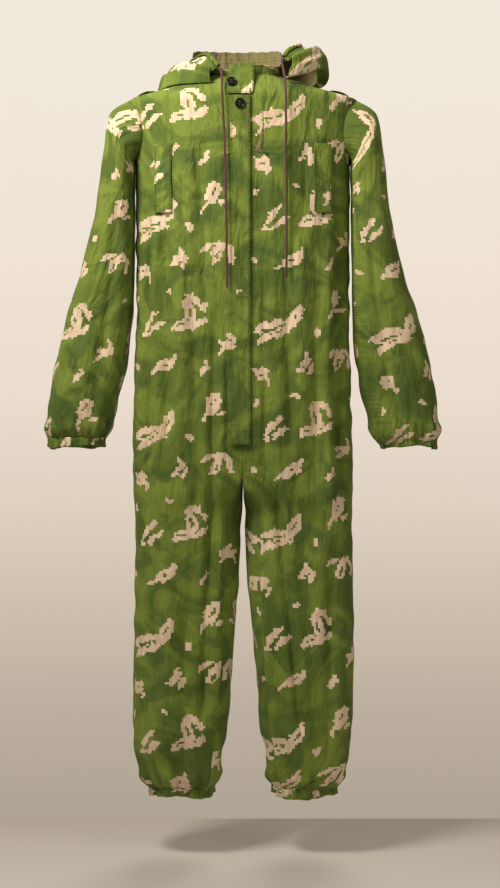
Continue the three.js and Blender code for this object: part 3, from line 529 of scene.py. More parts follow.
# where things lie on the front, from the middle, and how far down they reach
CLOSURE_X, STRIP_X, RIGHT_LACE_X, LEFT_LACE_X = -2, 164, -36, 88
CLOSURE_END, LACES_END, STRIP_TOP, STRIP_END = -800, -470, -135, -300


def body_at(z):
    """Half width and half thickness of the body at a height."""
    return (float(np.interp(-z, BODY_DEPTHS, BODY_HALF_WIDTHS)),
            float(np.interp(-z, BODY_DEPTHS, BODY_HALF_THICKS)))


def ridge_z(x):
    """Height of the shoulder seam at a distance from the neck's middle."""
    return -max(0.0, abs(x) - 78) * 45 / 162


def front_depth(x, z):
    """How far in front of its middle the body reaches at a place."""
    a, b = body_at(z)
    return b * max(0.0, 1 - (min(abs(x), a) / a) ** ROUNDNESS) ** (1 / ROUNDNESS)


def open_ring(a, b, shares):
    """From centre front round one side to centre back, at shares of its length, as (x, y)."""
    t = np.radians(np.linspace(-90, 90, 721))
    power = 2 / ROUNDNESS
    line = np.stack([a * np.abs(np.cos(t)) ** power, b * np.sign(t) * np.abs(np.sin(t)) ** power], axis=1)
    run = run_of(line)
    return shares_of(line, run, shares), run[-1]


def closed_ring(middle, a, b, shares):
    """From the innermost point round by the front, at shares of its girth, as (x, y)."""
    t = np.radians(np.linspace(180, 540, 1441))
    power = 2 / ROUNDNESS
    c, s = np.cos(t), np.sin(t)
    line = np.stack([middle + a * np.sign(c) * np.abs(c) ** power,
                     b * np.sign(s) * np.abs(s) ** power], axis=1)
    run = run_of(line)
    return shares_of(line, run, shares), run[-1]


def leg_at(z):
    """Middle, half width and half thickness of a leg at a height."""
    inner, outer = np.interp(-z, LEG_DEPTHS, LEG_INNER), np.interp(-z, LEG_DEPTHS, LEG_OUTER)
    return (inner + outer) / 2, (outer - inner) / 2, float(np.interp(-z, LEG_DEPTHS, LEG_THICKS))


def front_body_column(share):
    """One column of the upper front, from the chest line up to the neck or shoulder seam: (x, depth, z)."""
    half, _ = open_ring(*body_at(CHEST_Z), [share / 2])
    part = half[0, 0] / body_at(CHEST_Z)[0]
    x_top = part * 240
    top = ridge_z(x_top)
    steps = np.linspace(0, 1, 160)
    zs = top + (CHEST_Z - top) * (1 - steps) ** 3
    line = []
    for z in zs:
        x = part * body_at(z)[0] if z < -45 else x_top
        line.append((min(x, body_at(z)[0]), front_depth(x, z), z))
    return even(np.array(line), TOP_ROWS + 1)


def body_half(side, sign):
    """One half of the coverall, front, back and leg, cut at the centre seams and the inseam."""
    bm = bmesh.new()
    columns = 2 * HALF_COLUMNS
    shares = np.linspace(0, 1, columns + 1)
    chest_run = open_ring(*body_at(CHEST_Z), shares)[1]
    # upper front and back
    for back in (False, True):
        points = np.zeros((HALF_COLUMNS + 1, TOP_ROWS + 1, 3))
        places = np.zeros((HALF_COLUMNS + 1, TOP_ROWS + 1, 2))
        for i in range(HALF_COLUMNS + 1):
            line = front_body_column(i / HALF_COLUMNS)
            up = run_of(line)
            u = shares[i] * chest_run if not back else (1 - shares[i]) * chest_run
            for j, (x, depth, z) in enumerate(line):
                points[i, j] = (sign * x, depth if back else -depth, z)
                places[i, j] = (sign * u, CHEST_Z + up[j])
        add_grid(bm, points * MM, places * MM)
    # chest to crotch
    points = np.zeros((columns + 1, BODY_ROWS + 1, 3))
    places = np.zeros((columns + 1, BODY_ROWS + 1, 2))
    for j in range(BODY_ROWS + 1):
        z = CHEST_Z + (CROTCH_Z - CHEST_Z) * j / BODY_ROWS
        ring, run = open_ring(*body_at(z), shares)
        points[:, j, 0], points[:, j, 1], points[:, j, 2] = sign * ring[:, 0], ring[:, 1], z
        places[:, j, 0], places[:, j, 1] = sign * shares * run, z
    add_grid(bm, points * MM, places * MM)
    crotch_ring, crotch_run = open_ring(*body_at(CROTCH_Z), shares)
    # leg outside the inseams, then the strip inside them
    rows = LEG_ROWS
    points = np.zeros((columns + 1, rows + 1, 3))
    places = np.zeros((columns + 1, rows + 1, 2))
    inner = np.zeros((GUSSET_COLUMNS + 1, rows + 1, 3))
    inner_places = np.zeros((GUSSET_COLUMNS + 1, rows + 1, 2))
    outer_shares = INNER_SHARE / 2 + shares * (1 - INNER_SHARE)
    inner_shares = np.linspace(-INNER_SHARE / 2, INNER_SHARE / 2, GUSSET_COLUMNS + 1) % 1
    for j in range(rows + 1):
        z = CROTCH_Z + (ANKLE_Z - CROTCH_Z) * j / rows
        ring, run = closed_ring(*leg_at(z), outer_shares)
        strip, _ = closed_ring(*leg_at(z), inner_shares)
        join = float(smooth((CROTCH_Z - z) / 80))
        mix = crotch_ring * (1 - join) + ring * join
        points[:, j, 0], points[:, j, 1], points[:, j, 2] = sign * mix[:, 0], mix[:, 1], z
        width = crotch_run * (1 - join) + run * (1 - INNER_SHARE) * join
        places[:, j, 0], places[:, j, 1] = sign * (shares * width + (crotch_run - width) / 2), z
        for i in range(GUSSET_COLUMNS + 1):
            across = 1 - 2 * i / GUSSET_COLUMNS                    # 1 at the back, -1 at the front
            b = crotch_ring[-1, 1]
            start = np.array([0.0, across * b, CROTCH_Z - 30 * (1 - across ** 2)])
            drop = (start[2] - CROTCH_Z) * (1 - join)
            xy = start[:2] * (1 - join) + strip[i] * join
            inner[i, j] = (sign * xy[0], xy[1], z + drop)
            inner_places[i, j] = (sign * (strip[i, 1] + 600), z)
    add_grid(bm, points * MM, places * MM)
    # the strip runs from the back inseam to the front one, and shares its edges with the leg
    starts_behind = inner[0, :, 1].mean() > 0
    inner[0], inner[-1] = (points[-1], points[0]) if starts_behind else (points[0], points[-1])
    add_grid(bm, inner * MM, inner_places * MM)
    bmesh.ops.remove_doubles(bm, verts=bm.verts, dist=4e-4)
    face_away(bm, lambda z: (sign * 0.115, 0, z))
    return finish_mesh(bm, f"body_{side}", camouflage, khaki)


# ---------------------------------------------------------------- folds
# long folds of the front: side, line down the cloth as (x, z), half width, height (below 0 is a valley), mm
FRONT_FOLDS = [
    (-1, [(-197, -190), (-199, -520), (-196, -900)], 8, -12),
    (-1, [(-178, -180), (-180, -560), (-176, -900)], 12, 7),
    (-1, [(-120, -300), (-132, -760)], 20, 7), (-1, [(-58, -520), (-62, -900), (-84, -1330)], 8, -14),
    (-1, [(-40, -560), (-42, -820), (-60, -1250)], 12, 7), (-1, [(-88, -170), (-78, -480)], 12, -7),
    (-1, [(-150, -960), (-160, -1390)], 16, 9), (-1, [(-118, -1120), (-122, -1420)], 11, -10),
    (-1, [(-104, -420), (-92, -900)], 9, -6), (-1, [(-160, -330), (-152, -760)], 9, -6),
    (1, [(66, -850), (88, -1060), (122, -1380)], 9, -14),
    (1, [(84, -860), (108, -1100), (140, -1380)], 14, 8),
    (1, [(200, -300), (196, -560), (204, -860)], 9, -13), (1, [(176, -260), (170, -620), (180, -900)], 13, 8),
    (1, [(36, -440), (38, -640), (34, -800)], 10, -8), (1, [(118, -330), (124, -700)], 22, 7),
    (1, [(184, -980), (178, -1400)], 12, -11), (1, [(40, -1000), (58, -1350)], 11, 7),
    (1, [(136, -180), (120, -330)], 12, -5), (1, [(92, -420), (100, -800)], 10, -7),
    (1, [(148, -480), (150, -860)], 9, -6),
]
BACK_FOLDS = [
    (-1, [(-60, -300), (-70, -850)], 16, -8), (-1, [(-130, -330), (-140, -900)], 20, 7),
    (-1, [(-180, -260), (-185, -820)], 12, -8), (-1, [(-100, -950), (-118, -1400)], 14, -9),
    (1, [(48, -320), (60, -840)], 15, -8), (1, [(110, -300), (120, -880)], 20, 7),
    (1, [(170, -280), (178, -860)], 12, -9), (1, [(130, -960), (120, -1400)], 14, -8),
]


def fold_height(x, z, side, folds):
    """How far the designed folds of one side lift or sink the cloth, mm."""
    total = np.zeros(len(x))
    for its_side, line, width, height in folds:
        if its_side != side:
            continue
        xs, zs = [p[0] for p in line], [-p[1] for p in line]
        middle = np.interp(-z, zs, xs)
        fade = smooth((-zs[0] + 40 - z) / 90) * smooth((z + zs[-1] + 40) / 90)
        wave = 1 + 0.35 * np.sin(z / 46.0 + xs[0])
        total += 1.25 * height * wave * np.exp(-np.abs((x - middle) / width) ** 1.6) * fade
    return total


def normals_of(obj):
    """Which way each point of a mesh looks."""
    n = np.zeros(len(obj.data.vertices) * 3)
    obj.data.vertices.foreach_get("normal", n)
    return n.reshape(-1, 3)


def noise_at(points, seed, scale):
    """Smooth noise at many places, stretched by scale."""
    return np.array([wander(p[0] * scale[0] + seed, p[1] * scale[1], p[2] * scale[2]) for p in points])


def body_folds(obj, sign):
    """Designed long folds, and softer ones that grow longer down the cloth."""
    co, n = co_of(obj), normals_of(obj)
    x, y, z = (co / MM).T
    front, back = smooth(-n[:, 1] * 1.6), smooth(n[:, 1] * 1.6)
    move = front * fold_height(x, z, sign, FRONT_FOLDS) + back * fold_height(x, z, sign, BACK_FOLDS)
    long_folds = noise_at(co, 3.1 * sign, (10, 10, 1.5)) + 0.55 * noise_at(co, 8 * sign, (24, 24, 3.6))
    size = np.interp(-z, [0, 120, 300, 600, 900, 1300, 1480], [0, 1.5, 3.5, 5, 6, 7, 4])
    cross = noise_at(co, 15.0 * sign, (9, 9, 26))
    cross_size = np.interp(-z, [700, 850, 1000, 1300, 1400, 1478], [0, 2.5, 1.5, 2.5, 5, 3])
    move += 1.35 * size * long_folds + 1.5 * cross_size * cross
    side = smooth(np.abs(n[:, 0]) * 1.3 - 0.35)
    crush = noise_at(co, 22.0 * sign, (9, 16, 30))
    move += side * crush * np.interp(-z, [180, 300, 700, 900], [0, 5, 6, 0])
    # the closure, the strips on the chest and the laces lie on calm cloth
    calm = np.exp(-((x - CLOSURE_X) / 34.0) ** 4) * (y < 0) * smooth((z - CLOSURE_END) / 60)
    calm = np.maximum(calm, np.exp(-((np.abs(x) - STRIP_X) / 34.0) ** 4) * (y < 0)
                      * smooth((z + 320) / 30) * smooth((-120 - z) / 30))
    calm = np.maximum(calm, smooth((z + 70) / 40))
    move *= 1 - 0.92 * calm
    centre = np.exp(-(x / 14.0) ** 2) * smooth((z + 850) / 30)      # centre seams stay on the middle
    step = n * (move * MM)[:, None]
    step[:, 0] *= 1 - centre
    co += step
    # outward room under the laces, and between the two legs and beside the sleeves
    x, y, z = (co / MM).T
    laces = (np.exp(-((x - RIGHT_LACE_X) / 14) ** 2)
             + np.exp(-((x - LEFT_LACE_X) / 14) ** 2)) * (z > LACES_END)
    low = -front_limits(x, z) - 2.0
    y = np.where((laces > 0.3) & (y < low), low, y)
    inner = leg_inner_limit(z)
    x = np.where(z < CROTCH_Z - 2, sign * np.maximum(sign * x, inner), sign * np.maximum(sign * x, 0))
    x = sign * np.minimum(sign * x, np.interp(-z, [45, 172, 700, 790], [244, 225, 229, 246]))
    put_co(obj, np.stack([x, y, z], axis=1) * MM)


def leg_inner_limit(z):
    """How far from the middle the inside of a leg stays, mm."""
    return np.interp(-z, [836, 880, 1067, 1243, 1372, 1431, 1478], [0, 0.8, 3, 14, 24, 34, 52])


def front_limits(x, z):
    """The same reach as front_depth, for many places."""
    a = np.interp(-z, BODY_DEPTHS, BODY_HALF_WIDTHS)
    b = np.interp(-z, BODY_DEPTHS, BODY_HALF_THICKS)
    return b * np.maximum(0, 1 - np.minimum(np.abs(x) / a, 1) ** ROUNDNESS) ** (1 / ROUNDNESS)


SIM_FRAMES = 18
LOOSE_HOLD = 0.3               # how firmly cloth is held where nothing is sewn


def hold(obj, weights):
    """Marks how firmly each point is held, and so how far its cloth may grow."""
    group, free = obj.vertex_groups.new(name="held"), obj.vertex_groups.new(name="free")
    for i, w in enumerate(weights):
        group.add([i], float(w), "REPLACE")
        free.add([i], float(min(1.0, (1 - w) / 0.7)), "REPLACE")


def drape(objects, grow):
    """Lets the cut cloth, a little longer than its place, buckle into small creases under its own weight."""
    for obj in objects:
        cloth = obj.modifiers.new("drape", "CLOTH")
        s = cloth.settings
        s.quality = 5
        s.mass = 0.05
        s.tension_stiffness = s.compression_stiffness = 22
        s.shear_stiffness = 8
        s.bending_stiffness = 6.0
        s.tension_damping = s.compression_damping = 8
        s.bending_damping = 0.6
        s.air_damping = 3
        s.vertex_group_mass = "held"
        s.pin_stiffness = 0.6
        s.vertex_group_shrink = "free"
        s.shrink_min, s.shrink_max = 0.0, -grow
        cloth.collision_settings.use_collision = False
        s.effector_weights.gravity = 0.35
        cloth.point_cache.frame_start, cloth.point_cache.frame_end = 1, SIM_FRAMES
    for frame_number in range(1, SIM_FRAMES + 1):
        scene.frame_set(frame_number)
    for obj in objects:
        bake(obj)
    scene.frame_set(1)


def bake(obj):
    """Applies the drape and one level of rounding."""
    rounder = obj.modifiers.new("rounding", "SUBSURF")
    rounder.levels = rounder.render_levels = 1
    rounder.boundary_smooth = "PRESERVE_CORNERS"
    mesh = bpy.data.meshes.new_from_object(obj.evaluated_get(bpy.context.evaluated_depsgraph_get()))
    obj.modifiers.clear()
    old = obj.data
    obj.data = mesh
    mesh.name = obj.name
    bpy.data.meshes.remove(old)
    obj.vertex_groups.clear()


# ---------------------------------------------------------------- sleeves
# outer and inner point of each ring of a sleeve from the armhole seam to the cuff, and its half depth, mm
SLEEVE_RINGS = [
    ((243, -45.5), (226.5, -171), 54), ((262, -52), (226.5, -174), 62), ((276, -64), (226.5, -178), 68),
    ((283, -84), (226.5, -183), 73), ((287, -110), (226.5, -190), 77), ((289, -140), (226.5, -203), 79),
    ((296, -176), (226.5, -222), 79), ((301, -225), (226.5, -250), 79), ((308, -280), (227, -290), 79),
    ((325, -350), (228, -352), 78), ((343, -420), (229, -420), 76), ((364, -480), (231, -480), 73),
    ((383, -540), (234, -540), 70), ((398, -600), (243, -600), 66), ((407, -650), (252, -650), 62),
    ((411, -695), (264, -695), 58), ((411, -730), (277, -733), 52), ((406, -751), (290, -751), 44),
]
SLEEVE_AROUND, SLEEVE_ROWS = 56, 62


def beside_body(y, z):
    """How far out the body reaches at a depth and a height, mm."""
    a, b = np.interp(-z, BODY_DEPTHS, BODY_HALF_WIDTHS), np.interp(-z, BODY_DEPTHS, BODY_HALF_THICKS)
    return a * np.maximum(0, 1 - np.minimum(np.abs(y) / b, 1) ** ROUNDNESS) ** (1 / ROUNDNESS)


def sleeve_limit(y, z):
    """How near the body a sleeve may come, mm from the middle."""
    low = np.interp(-z, [40, 172, 700, 750], [226.2, 226.2, 233, 262])
    return np.where(z > -172, np.minimum(beside_body(y, z) + 0.4, 240.4), low)


def sleeve(side, sign):
    """A tube of cloth from the armhole seam to the top of the cuff hem. Its seam runs down the inside."""
    table = np.array([[*o, *i, b] for o, i, b in SLEEVE_RINGS], float)
    table = along_table(table, SLEEVE_ROWS + 1)
    if side == "left":                                    # hangs a little longer than the right one
        stretch = np.interp(-table[:, 1], [300, 751], [0, 7])
        table[:, 1] -= stretch
        table[:, 3] -= np.interp(-table[:, 3], [300, 751], [0, 16])
    points = np.zeros((SLEEVE_AROUND + 1, SLEEVE_ROWS + 1, 3))
    places = np.zeros((SLEEVE_AROUND + 1, SLEEVE_ROWS + 1, 2))
    run = 0.0
    for j, (ox, oz, ix, iz, b) in enumerate(table):
        outer, inner = np.array([ox, oz]), np.array([ix, iz])
        if j:
            above, above_inner = table[j - 1][:2], table[j - 1][2:4]
            run += 0.5 * (np.linalg.norm(outer - above)
                          + np.linalg.norm((outer + inner) / 2 - (above + above_inner) / 2))
        half = np.linalg.norm(outer - inner) / 2
        ring, girth = closed_ring(0, half, b, np.linspace(0, 1, SLEEVE_AROUND + 1))
        for i, (across, deep) in enumerate(ring):
            xz = (outer + inner) / 2 + (outer - inner) / 2 * across / half
            if j < 3:                                     # the armhole seam lies on the body
                xz[0] += (beside_body(deep, xz[1]) + 0.4 - xz[0]) * (1.0, 0.5, 0.15)[j]
            points[i, j] = (sign * xz[0], deep, xz[1])
            places[i, j] = (sign * (i / SLEEVE_AROUND - 0.5) * min(girth, 460) + sign * 700, -run - 40)
    bm = bmesh.new()
    add_grid(bm, points * MM, places * MM)
    bmesh.ops.remove_doubles(bm, verts=bm.verts, dist=2e-5)
    face_away(bm, lambda z: (sign * np.interp(-z, [0, 200, 750], [0.235, 0.262, 0.348]), 0, z))
    return finish_mesh(bm, f"sleeve_{side}", camouflage, khaki)


def along_table(table, count):
    """The rings' sizes at count levels, evenly spaced along the sleeve."""
    run = np.concatenate([[0], np.cumsum(np.linalg.norm(np.diff(table[:, :2], axis=0), axis=1)
                                         + 0.6 * np.linalg.norm(np.diff(table[:, 2:4], axis=0), axis=1))])
    at = np.linspace(0, run[-1], count)
    return np.stack([np.interp(at, run, table[:, k]) for k in range(table.shape[1])], axis=1)


def sleeve_folds(obj, sign):
    """Long folds, cross creases above the cuff, and drag lines from the underarm."""
    co, n = co_of(obj), normals_of(obj)
    x, y, z = (co / MM).T
    slope = (z + 300) * 0.22 * (z < -300)
    lengthwise = np.stack([co[:, 0] + sign * slope * MM, co[:, 1], co[:, 2]], axis=1)
    move = (noise_at(lengthwise, 5.5 * sign, (14, 12, 2.4)) * np.interp(-z, [60, 140, 400, 700], [0, 4, 7, 6])
            + noise_at(co, 11.5 * sign, (18, 18, 22)) * np.interp(-z, [60, 400, 560, 720], [0, 2.5, 4.5, 5])
            + noise_at(co, 31.5 * sign, (34, 30, 40)) * np.interp(-z, [500, 650, 740], [0, 2.0, 3.0]))
    # drag lines from the underarm, and one long valley down the front near the inside
    drag = np.sin(((sign * x - 226) * 0.55 - (z + 172)) / 15.0) * np.exp(-((z + 215) / 70) ** 2)
    move += drag * 2.4 * smooth((300 - sign * x) / 80)
    valley = np.interp(-z, [180, 420, 640, 740], [250, 268, 300, 322])
    move -= (9 * np.exp(-((sign * x - valley) / 9) ** 2) * (y < 0) * smooth((-250 - z) / 120)
             * smooth((z + 745) / 60))
    move -= 6 * np.exp(-((sign * x - valley - 52) / 13) ** 2) * (y > 0) * smooth((-250 - z) / 120)
    held = smooth((250 - sign * x) / 12) * (z > -176)
    move *= (1 - held) * smooth(np.linalg.norm(np.stack([sign * x - 243, z + 45.5]), axis=0) / 30)
    co += n * (move * MM)[:, None]
    co[:, 0] = sign * np.maximum(sign * co[:, 0], sleeve_limit(co[:, 1] / MM, co[:, 2] / MM) * MM)
    co[:, 0] = sign * np.minimum(sign * co[:, 0], 0.4225)
    put_co(obj, co)


bodies, sleeves = {}, {}
for side, sign in SIDES:
    bodies[side] = body_half(side, sign)
    body_folds(bodies[side], sign)
    co = co_of(bodies[side]) / MM
    x, y, z = co.T
    weight = np.full(len(co), LOOSE_HOLD)
    calm_top = smooth((150 - np.abs(x)) / 70) * smooth((z + 260) / 110) * (y < 0)
    weight = np.maximum(weight, LOOSE_HOLD + 0.6 * calm_top)
    beside = smooth((66 - np.abs(x - CLOSURE_X)) / 32) * smooth((z + 830) / 30)
    weight = np.maximum(weight, LOOSE_HOLD + 0.7 * beside)
    weight[(y < 0) & (np.abs(np.abs(x) - STRIP_X) < 26) & (z < STRIP_TOP) & (z > STRIP_END)] = 1.0
    weight[z > -70] = 1.0
    weight[z < -1470] = 1.0
    weight[np.abs(x) < 3] = 1.0
    hold(bodies[side], weight)
    sleeves[side] = sleeve(side, sign)
    sleeve_folds(sleeves[side], sign)
    co = co_of(sleeves[side]) / MM
    x, y, z = co.T
    weight = np.full(len(co), LOOSE_HOLD)
    weight[(np.abs(x) < 246) & (z > -176)] = 1.0
    weight[z < -744] = 1.0
    hold(sleeves[side], weight)
drape([*bodies.values(), *sleeves.values()], grow=0.030)


# ---------------------------------------------------------------- gathers at the elastic
ANKLES = {"right": (-129.3, 66, 50, -1478.3), "left": (129.3, 66, 50, -1478.3)}
CUFFS = {"right": (-348, 58, 43, -751.3), "left": (348, 58, 43, -751.3)}
HEM_DEPTH = 19
HEM_RADIUS = 0.055             # metres, for spacing the puckers round a hem
PLEATS = [(13, 0.9), (19, 1.0), (24, 0.8), (31, 0.6), (9, 0.6)]


def pleat(turn, seed):
    """Uneven gathers round a hem."""
    total = sum(size * np.sin(count * turn + seed * (k + 1.7)) for k, (count, size) in enumerate(PLEATS))
    return total / 2.2


def hem_turn(x, y, place):
    """How far round a hem a place lies, in radians."""
    middle, a, b, _ = place
    return np.arctan2(y / b, (x - middle) / a)


def gather(obj, place, reach, seed, depth):
    """Draws the cloth into pleats as it comes to a hem."""
    co = co_of(obj)
    x, y, z = (co / MM).T
    near = smooth((place[3] + reach - z) / reach) ** 1.6
    turn = hem_turn(x, y, place)
    bulge = np.exp(-((z - place[3] - 20) / 15) ** 2)
    wave = pleat(turn, seed) * (depth * near + 4.2 * bulge * near ** 0.3) + 3.0 * bulge
    drift = 0.35 * noise_at(co, seed, (50, 50, 24)) * near * depth
    out = np.stack([np.cos(turn), np.sin(turn) * 0.9], axis=1) * (wave + drift)[:, None]
    co[:, :2] += out * MM
    put_co(obj, co)


def hem_offset(turn, seed):
    """How a gathered hem rises and falls round its edge, mm."""
    return 2.6 * np.sin(2 * turn + seed) + 2.0 * np.sin(3 * turn + 2.1 * seed) + 1.2 * np.sin(7 * turn + seed)


def hem(name, place, seed):
    """A gathered casing round the elastic: up the outside, round the bottom, and up the inside."""
    middle, a, b, top = place
    around = 120
    profile = [(0.6, 1.5), (1.2, -3), (0.2, -9), (1.0, -15), (0.2, -18.2), (-2.2, -19.3), (-4.4, -18.0),
               (-5.0, -13), (-4.9, -6), (-5.4, 0)]             # (out, up) from the hem's top, mm
    points = np.zeros((around + 1, len(profile), 3))
    places = np.zeros((around + 1, len(profile), 2))
    for i in range(around + 1):
        turn = 2 * math.pi * i / around
        for j, (out, down) in enumerate(profile):
            ruffle = float(pleat(turn, seed)) * (2.6 + 1.6 * abs(down / HEM_DEPTH)) * (1 if j < 6 else 0.6)
            power = 2 / ROUNDNESS
            c, s = math.cos(turn), math.sin(turn)
            x = middle + (a + out + ruffle) * math.copysign(abs(c) ** power, c)
            y = (b + out + ruffle) * math.copysign(abs(s) ** power, s)
            z = top + down + float(hem_offset(turn, seed)) * abs(down / HEM_DEPTH)
            points[i, j] = (x, y, z)
            places[i, j] = (i / around * 520, 900 + down * 1.3 + seed * 40)
    bm = bmesh.new()
    add_grid(bm, points * MM, places * MM)
    bmesh.ops.remove_doubles(bm, verts=bm.verts, dist=2e-5)
    face_away(bm, lambda z: (middle * MM, 0, z))
    return finish_mesh(bm, name, camouflage, camouflage)


# ---------------------------------------------------------------- room between neighbours, after the drape
def keep_clear(obj, sign, is_sleeve):
    """Keeps the draped cloth out of what lies beside, on and inside it."""
    co = co_of(obj)
    x, y, z = (co / MM).T
    if is_sleeve:
        x = sign * np.clip(sign * x, sleeve_limit(y, z), 424)
    else:
        inner = leg_inner_limit(z)
        x = sign * np.maximum(sign * x, np.where(z < CROTCH_Z - 2, inner, 0))
        side = np.interp(-z, [45, 172, 700, 790], [240, 225, 229, 246])
        side = np.where((z > ARMHOLE_Z) & (z < -45), np.minimum(side, beside_body(y, z) + 0.2), side)
        x = sign * np.minimum(sign * x, side)
        limit = front_limits(x, z)
        strip = (np.abs(np.abs(x) - STRIP_X) < 27) & (z < STRIP_TOP) & (z > STRIP_END)
        closure = (np.abs(x - CLOSURE_X) < 34) & (z > CLOSURE_END)
        room = np.where(strip | closure, 0.25, 2.5)
        laces = ((np.abs(x - RIGHT_LACE_X) < 16) | (np.abs(x - LEFT_LACE_X) < 14)) & (z > LACES_END)
        front = (y < 0) & (strip | closure | laces)
        y = np.where(front, np.maximum(y, -limit - room), y)
        beside = np.abs(x - CLOSURE_X)                    # and the facing stays behind the front
        y = np.where((y < 0) & (beside < 60) & (z > CLOSURE_END),
                     np.minimum(y, -limit + 0.9 + 10 * smooth((beside - 34) / 26)), y)
        back = (y > 0) & (z > -215) & (np.abs(x) < 175)
        y = np.where(back, np.minimum(y, 94.9), y)
    put_co(obj, np.stack([x, y, z], axis=1) * MM)


# ---------------------------------------------------------------- stitches
STITCH, STITCH_PITCH, THREAD = 2.8, 4.2, 0.45        # mm
stitch_work = {}


def stitches(body, points):
    """A row of single stitches along points, mm, for one body."""
    bm = stitch_work.setdefault(body, bmesh.new())
    line = np.array(points, float)
    length = np.linalg.norm(np.diff(line, axis=0), axis=1).sum()
    spots = even(line, max(3, int(length / STITCH_PITCH) * 2 + 1))
    for k in range(0, len(spots) - 1, 2):
        a, b = Vector(spots[k]), Vector(spots[k + 1])
        if (b - a).length < 0.2:
            continue
        middle = (a + b) / 2 * MM
        turn = (b - a).to_track_quat("Z", "Y").to_matrix().to_4x4()
        turn.translation = middle
        bmesh.ops.create_cone(bm, cap_ends=True, segments=5, radius1=THREAD * MM, radius2=THREAD * MM,
                              depth=STITCH * MM, matrix=turn)


def finish_stitches():
    """One piece of thread for each body that has stitches."""
    for body, bm in stitch_work.items():
        obj = finish_mesh(bm, f"stitches_{body}", thread, shade=False)
        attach(obj, body)


# ---------------------------------------------------------------- strips of doubled cloth
def band(name, points, places, wall, material=None, other=None, bevel=0.5):
    """A strip of folded cloth: points are its outer face, mm, and its thickness lies behind."""
    bm = bmesh.new()
    add_grid(bm, np.asarray(points) * MM, np.asarray(places) * MM)
    bmesh.ops.recalc_face_normals(bm, faces=bm.faces)
    obj = finish_mesh(bm, name, material or camouflage, other or material or camouflage)
    thicken(obj, wall * MM)
    if bevel:
        edge = obj.modifiers.new("soft edges", "BEVEL")
        edge.width, edge.segments, edge.profile = bevel * MM, 2, 0.5
        edge.limit_method, edge.angle_limit = "ANGLE", math.radians(50)
    return obj


def turn_out(obj, direction):
    """Turns a strip's faces to look along direction."""
    total = sum(f.normal.dot(Vector(direction)) * f.area for f in obj.data.polygons)
    if total < 0:
        obj.data.flip_normals()
    return obj


def paint_gather(obj, strength, run):
    """Writes where the cloth puckers and how far along the seam each point lies."""
    for name, values in (("gather", strength), ("run", run)):
        layer = obj.data.attributes.new(name, "FLOAT", "POINT")
        layer.data.foreach_set("value", np.asarray(values, np.float32))


def flat_strip(name, x_range, z_range, y_face, wall, columns, rows, place, turn_in=0.0, seed=1.0, wave=0.5):
    """An upright strip facing the front at y_face, its far long edge turned in by turn_in, mm."""
    xs, zs = np.linspace(*x_range, columns + 1), np.linspace(*z_range, rows + 1)
    extra = 2 if turn_in else 0
    points = np.zeros((columns + 1 + extra, rows + 1, 3))
    places = np.zeros((columns + 1 + extra, rows + 1, 2))
    for i in range(columns + 1 + extra):
        for j, z in enumerate(zs):
            k = max(0, i - columns)
            x = xs[min(i, columns)]
            edge = 1 if i in (0, columns) else 0
            points[i, j] = (x + edge * 0.4 * wander(z * 0.09, seed),
                            y_face - (wave * abs(wander(x * 0.05, z * 0.03, seed)) if not k else 0)
                            + k * turn_in / 2, z)
            places[i, j] = (x + k * turn_in / 2 + place[0], z + place[1])
    obj = turn_out(band(name, points, places, wall), (0, -1, 0))
    co = co_of(obj) / MM
    away = np.minimum(co[:, 0] - min(x_range), max(x_range) - co[:, 0])
    paint_gather(obj, 0.4 * np.exp(-(away / 6.0) ** 2), co[:, 2] * MM)
    return obj


FLAP_FACE = -100.4
LEFT_EDGE, SEWN_EDGE = -25.0, 15.0
FLAP_TOP, FLAP_HALF_WAY, FLAP_FOOT = -52, -409, -766


def closure():
    """The strip over the buttons: sewn to the left front, its head and foot stitched down."""
    upper, lower = (flat_strip(name, (LEFT_EDGE, SEWN_EDGE), ends, FLAP_FACE, 1.7, 12, 110, (-3, 0), 4.6)
                    for name, ends in (("placket_upper", (FLAP_TOP, FLAP_HALF_WAY)),
                                       ("placket_lower", (FLAP_HALF_WAY, FLAP_FOOT))))
    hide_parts("placket_head", "placket_flap")
    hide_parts("placket_foot")
    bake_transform(upper)
    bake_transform(lower)
    for body, low, high in (("torso", -86, -53), ("placket", -732, -88), ("torso", -765, -736)):
        for x in (LEFT_EDGE + 2.5, SEWN_EDGE - 3.0):
            stitches(body, [(x, FLAP_FACE - 0.35, high), (x, FLAP_FACE - 0.35, low)])
    # buttonhole of the head, and the one that shows half way down
    for body, x, z in (("torso", (3, 13), -69), ("placket", (-12, 13), -464)):
        for side_step in (-0.6, 0.6):
            stitches(body, [(x[0], FLAP_FACE - 0.45, z + side_step), (x[1], FLAP_FACE - 0.45, z + side_step)])
    # the box of stitches that shuts the foot, and the bar above it
    for z in (-737, -763):
        stitches("torso", [(LEFT_EDGE + 3, FLAP_FACE - 0.35, z), (SEWN_EDGE - 3, FLAP_FACE - 0.35, z)])
    underlap = flat_strip("fly_facing", (-26, 25), (-62, -760), -91.0, 1.7, 8, 70, (0, 300))
    underlap.data.materials[0] = underlap.data.materials[1] = khaki
    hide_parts("fly_underlap")
    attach(underlap, "torso")


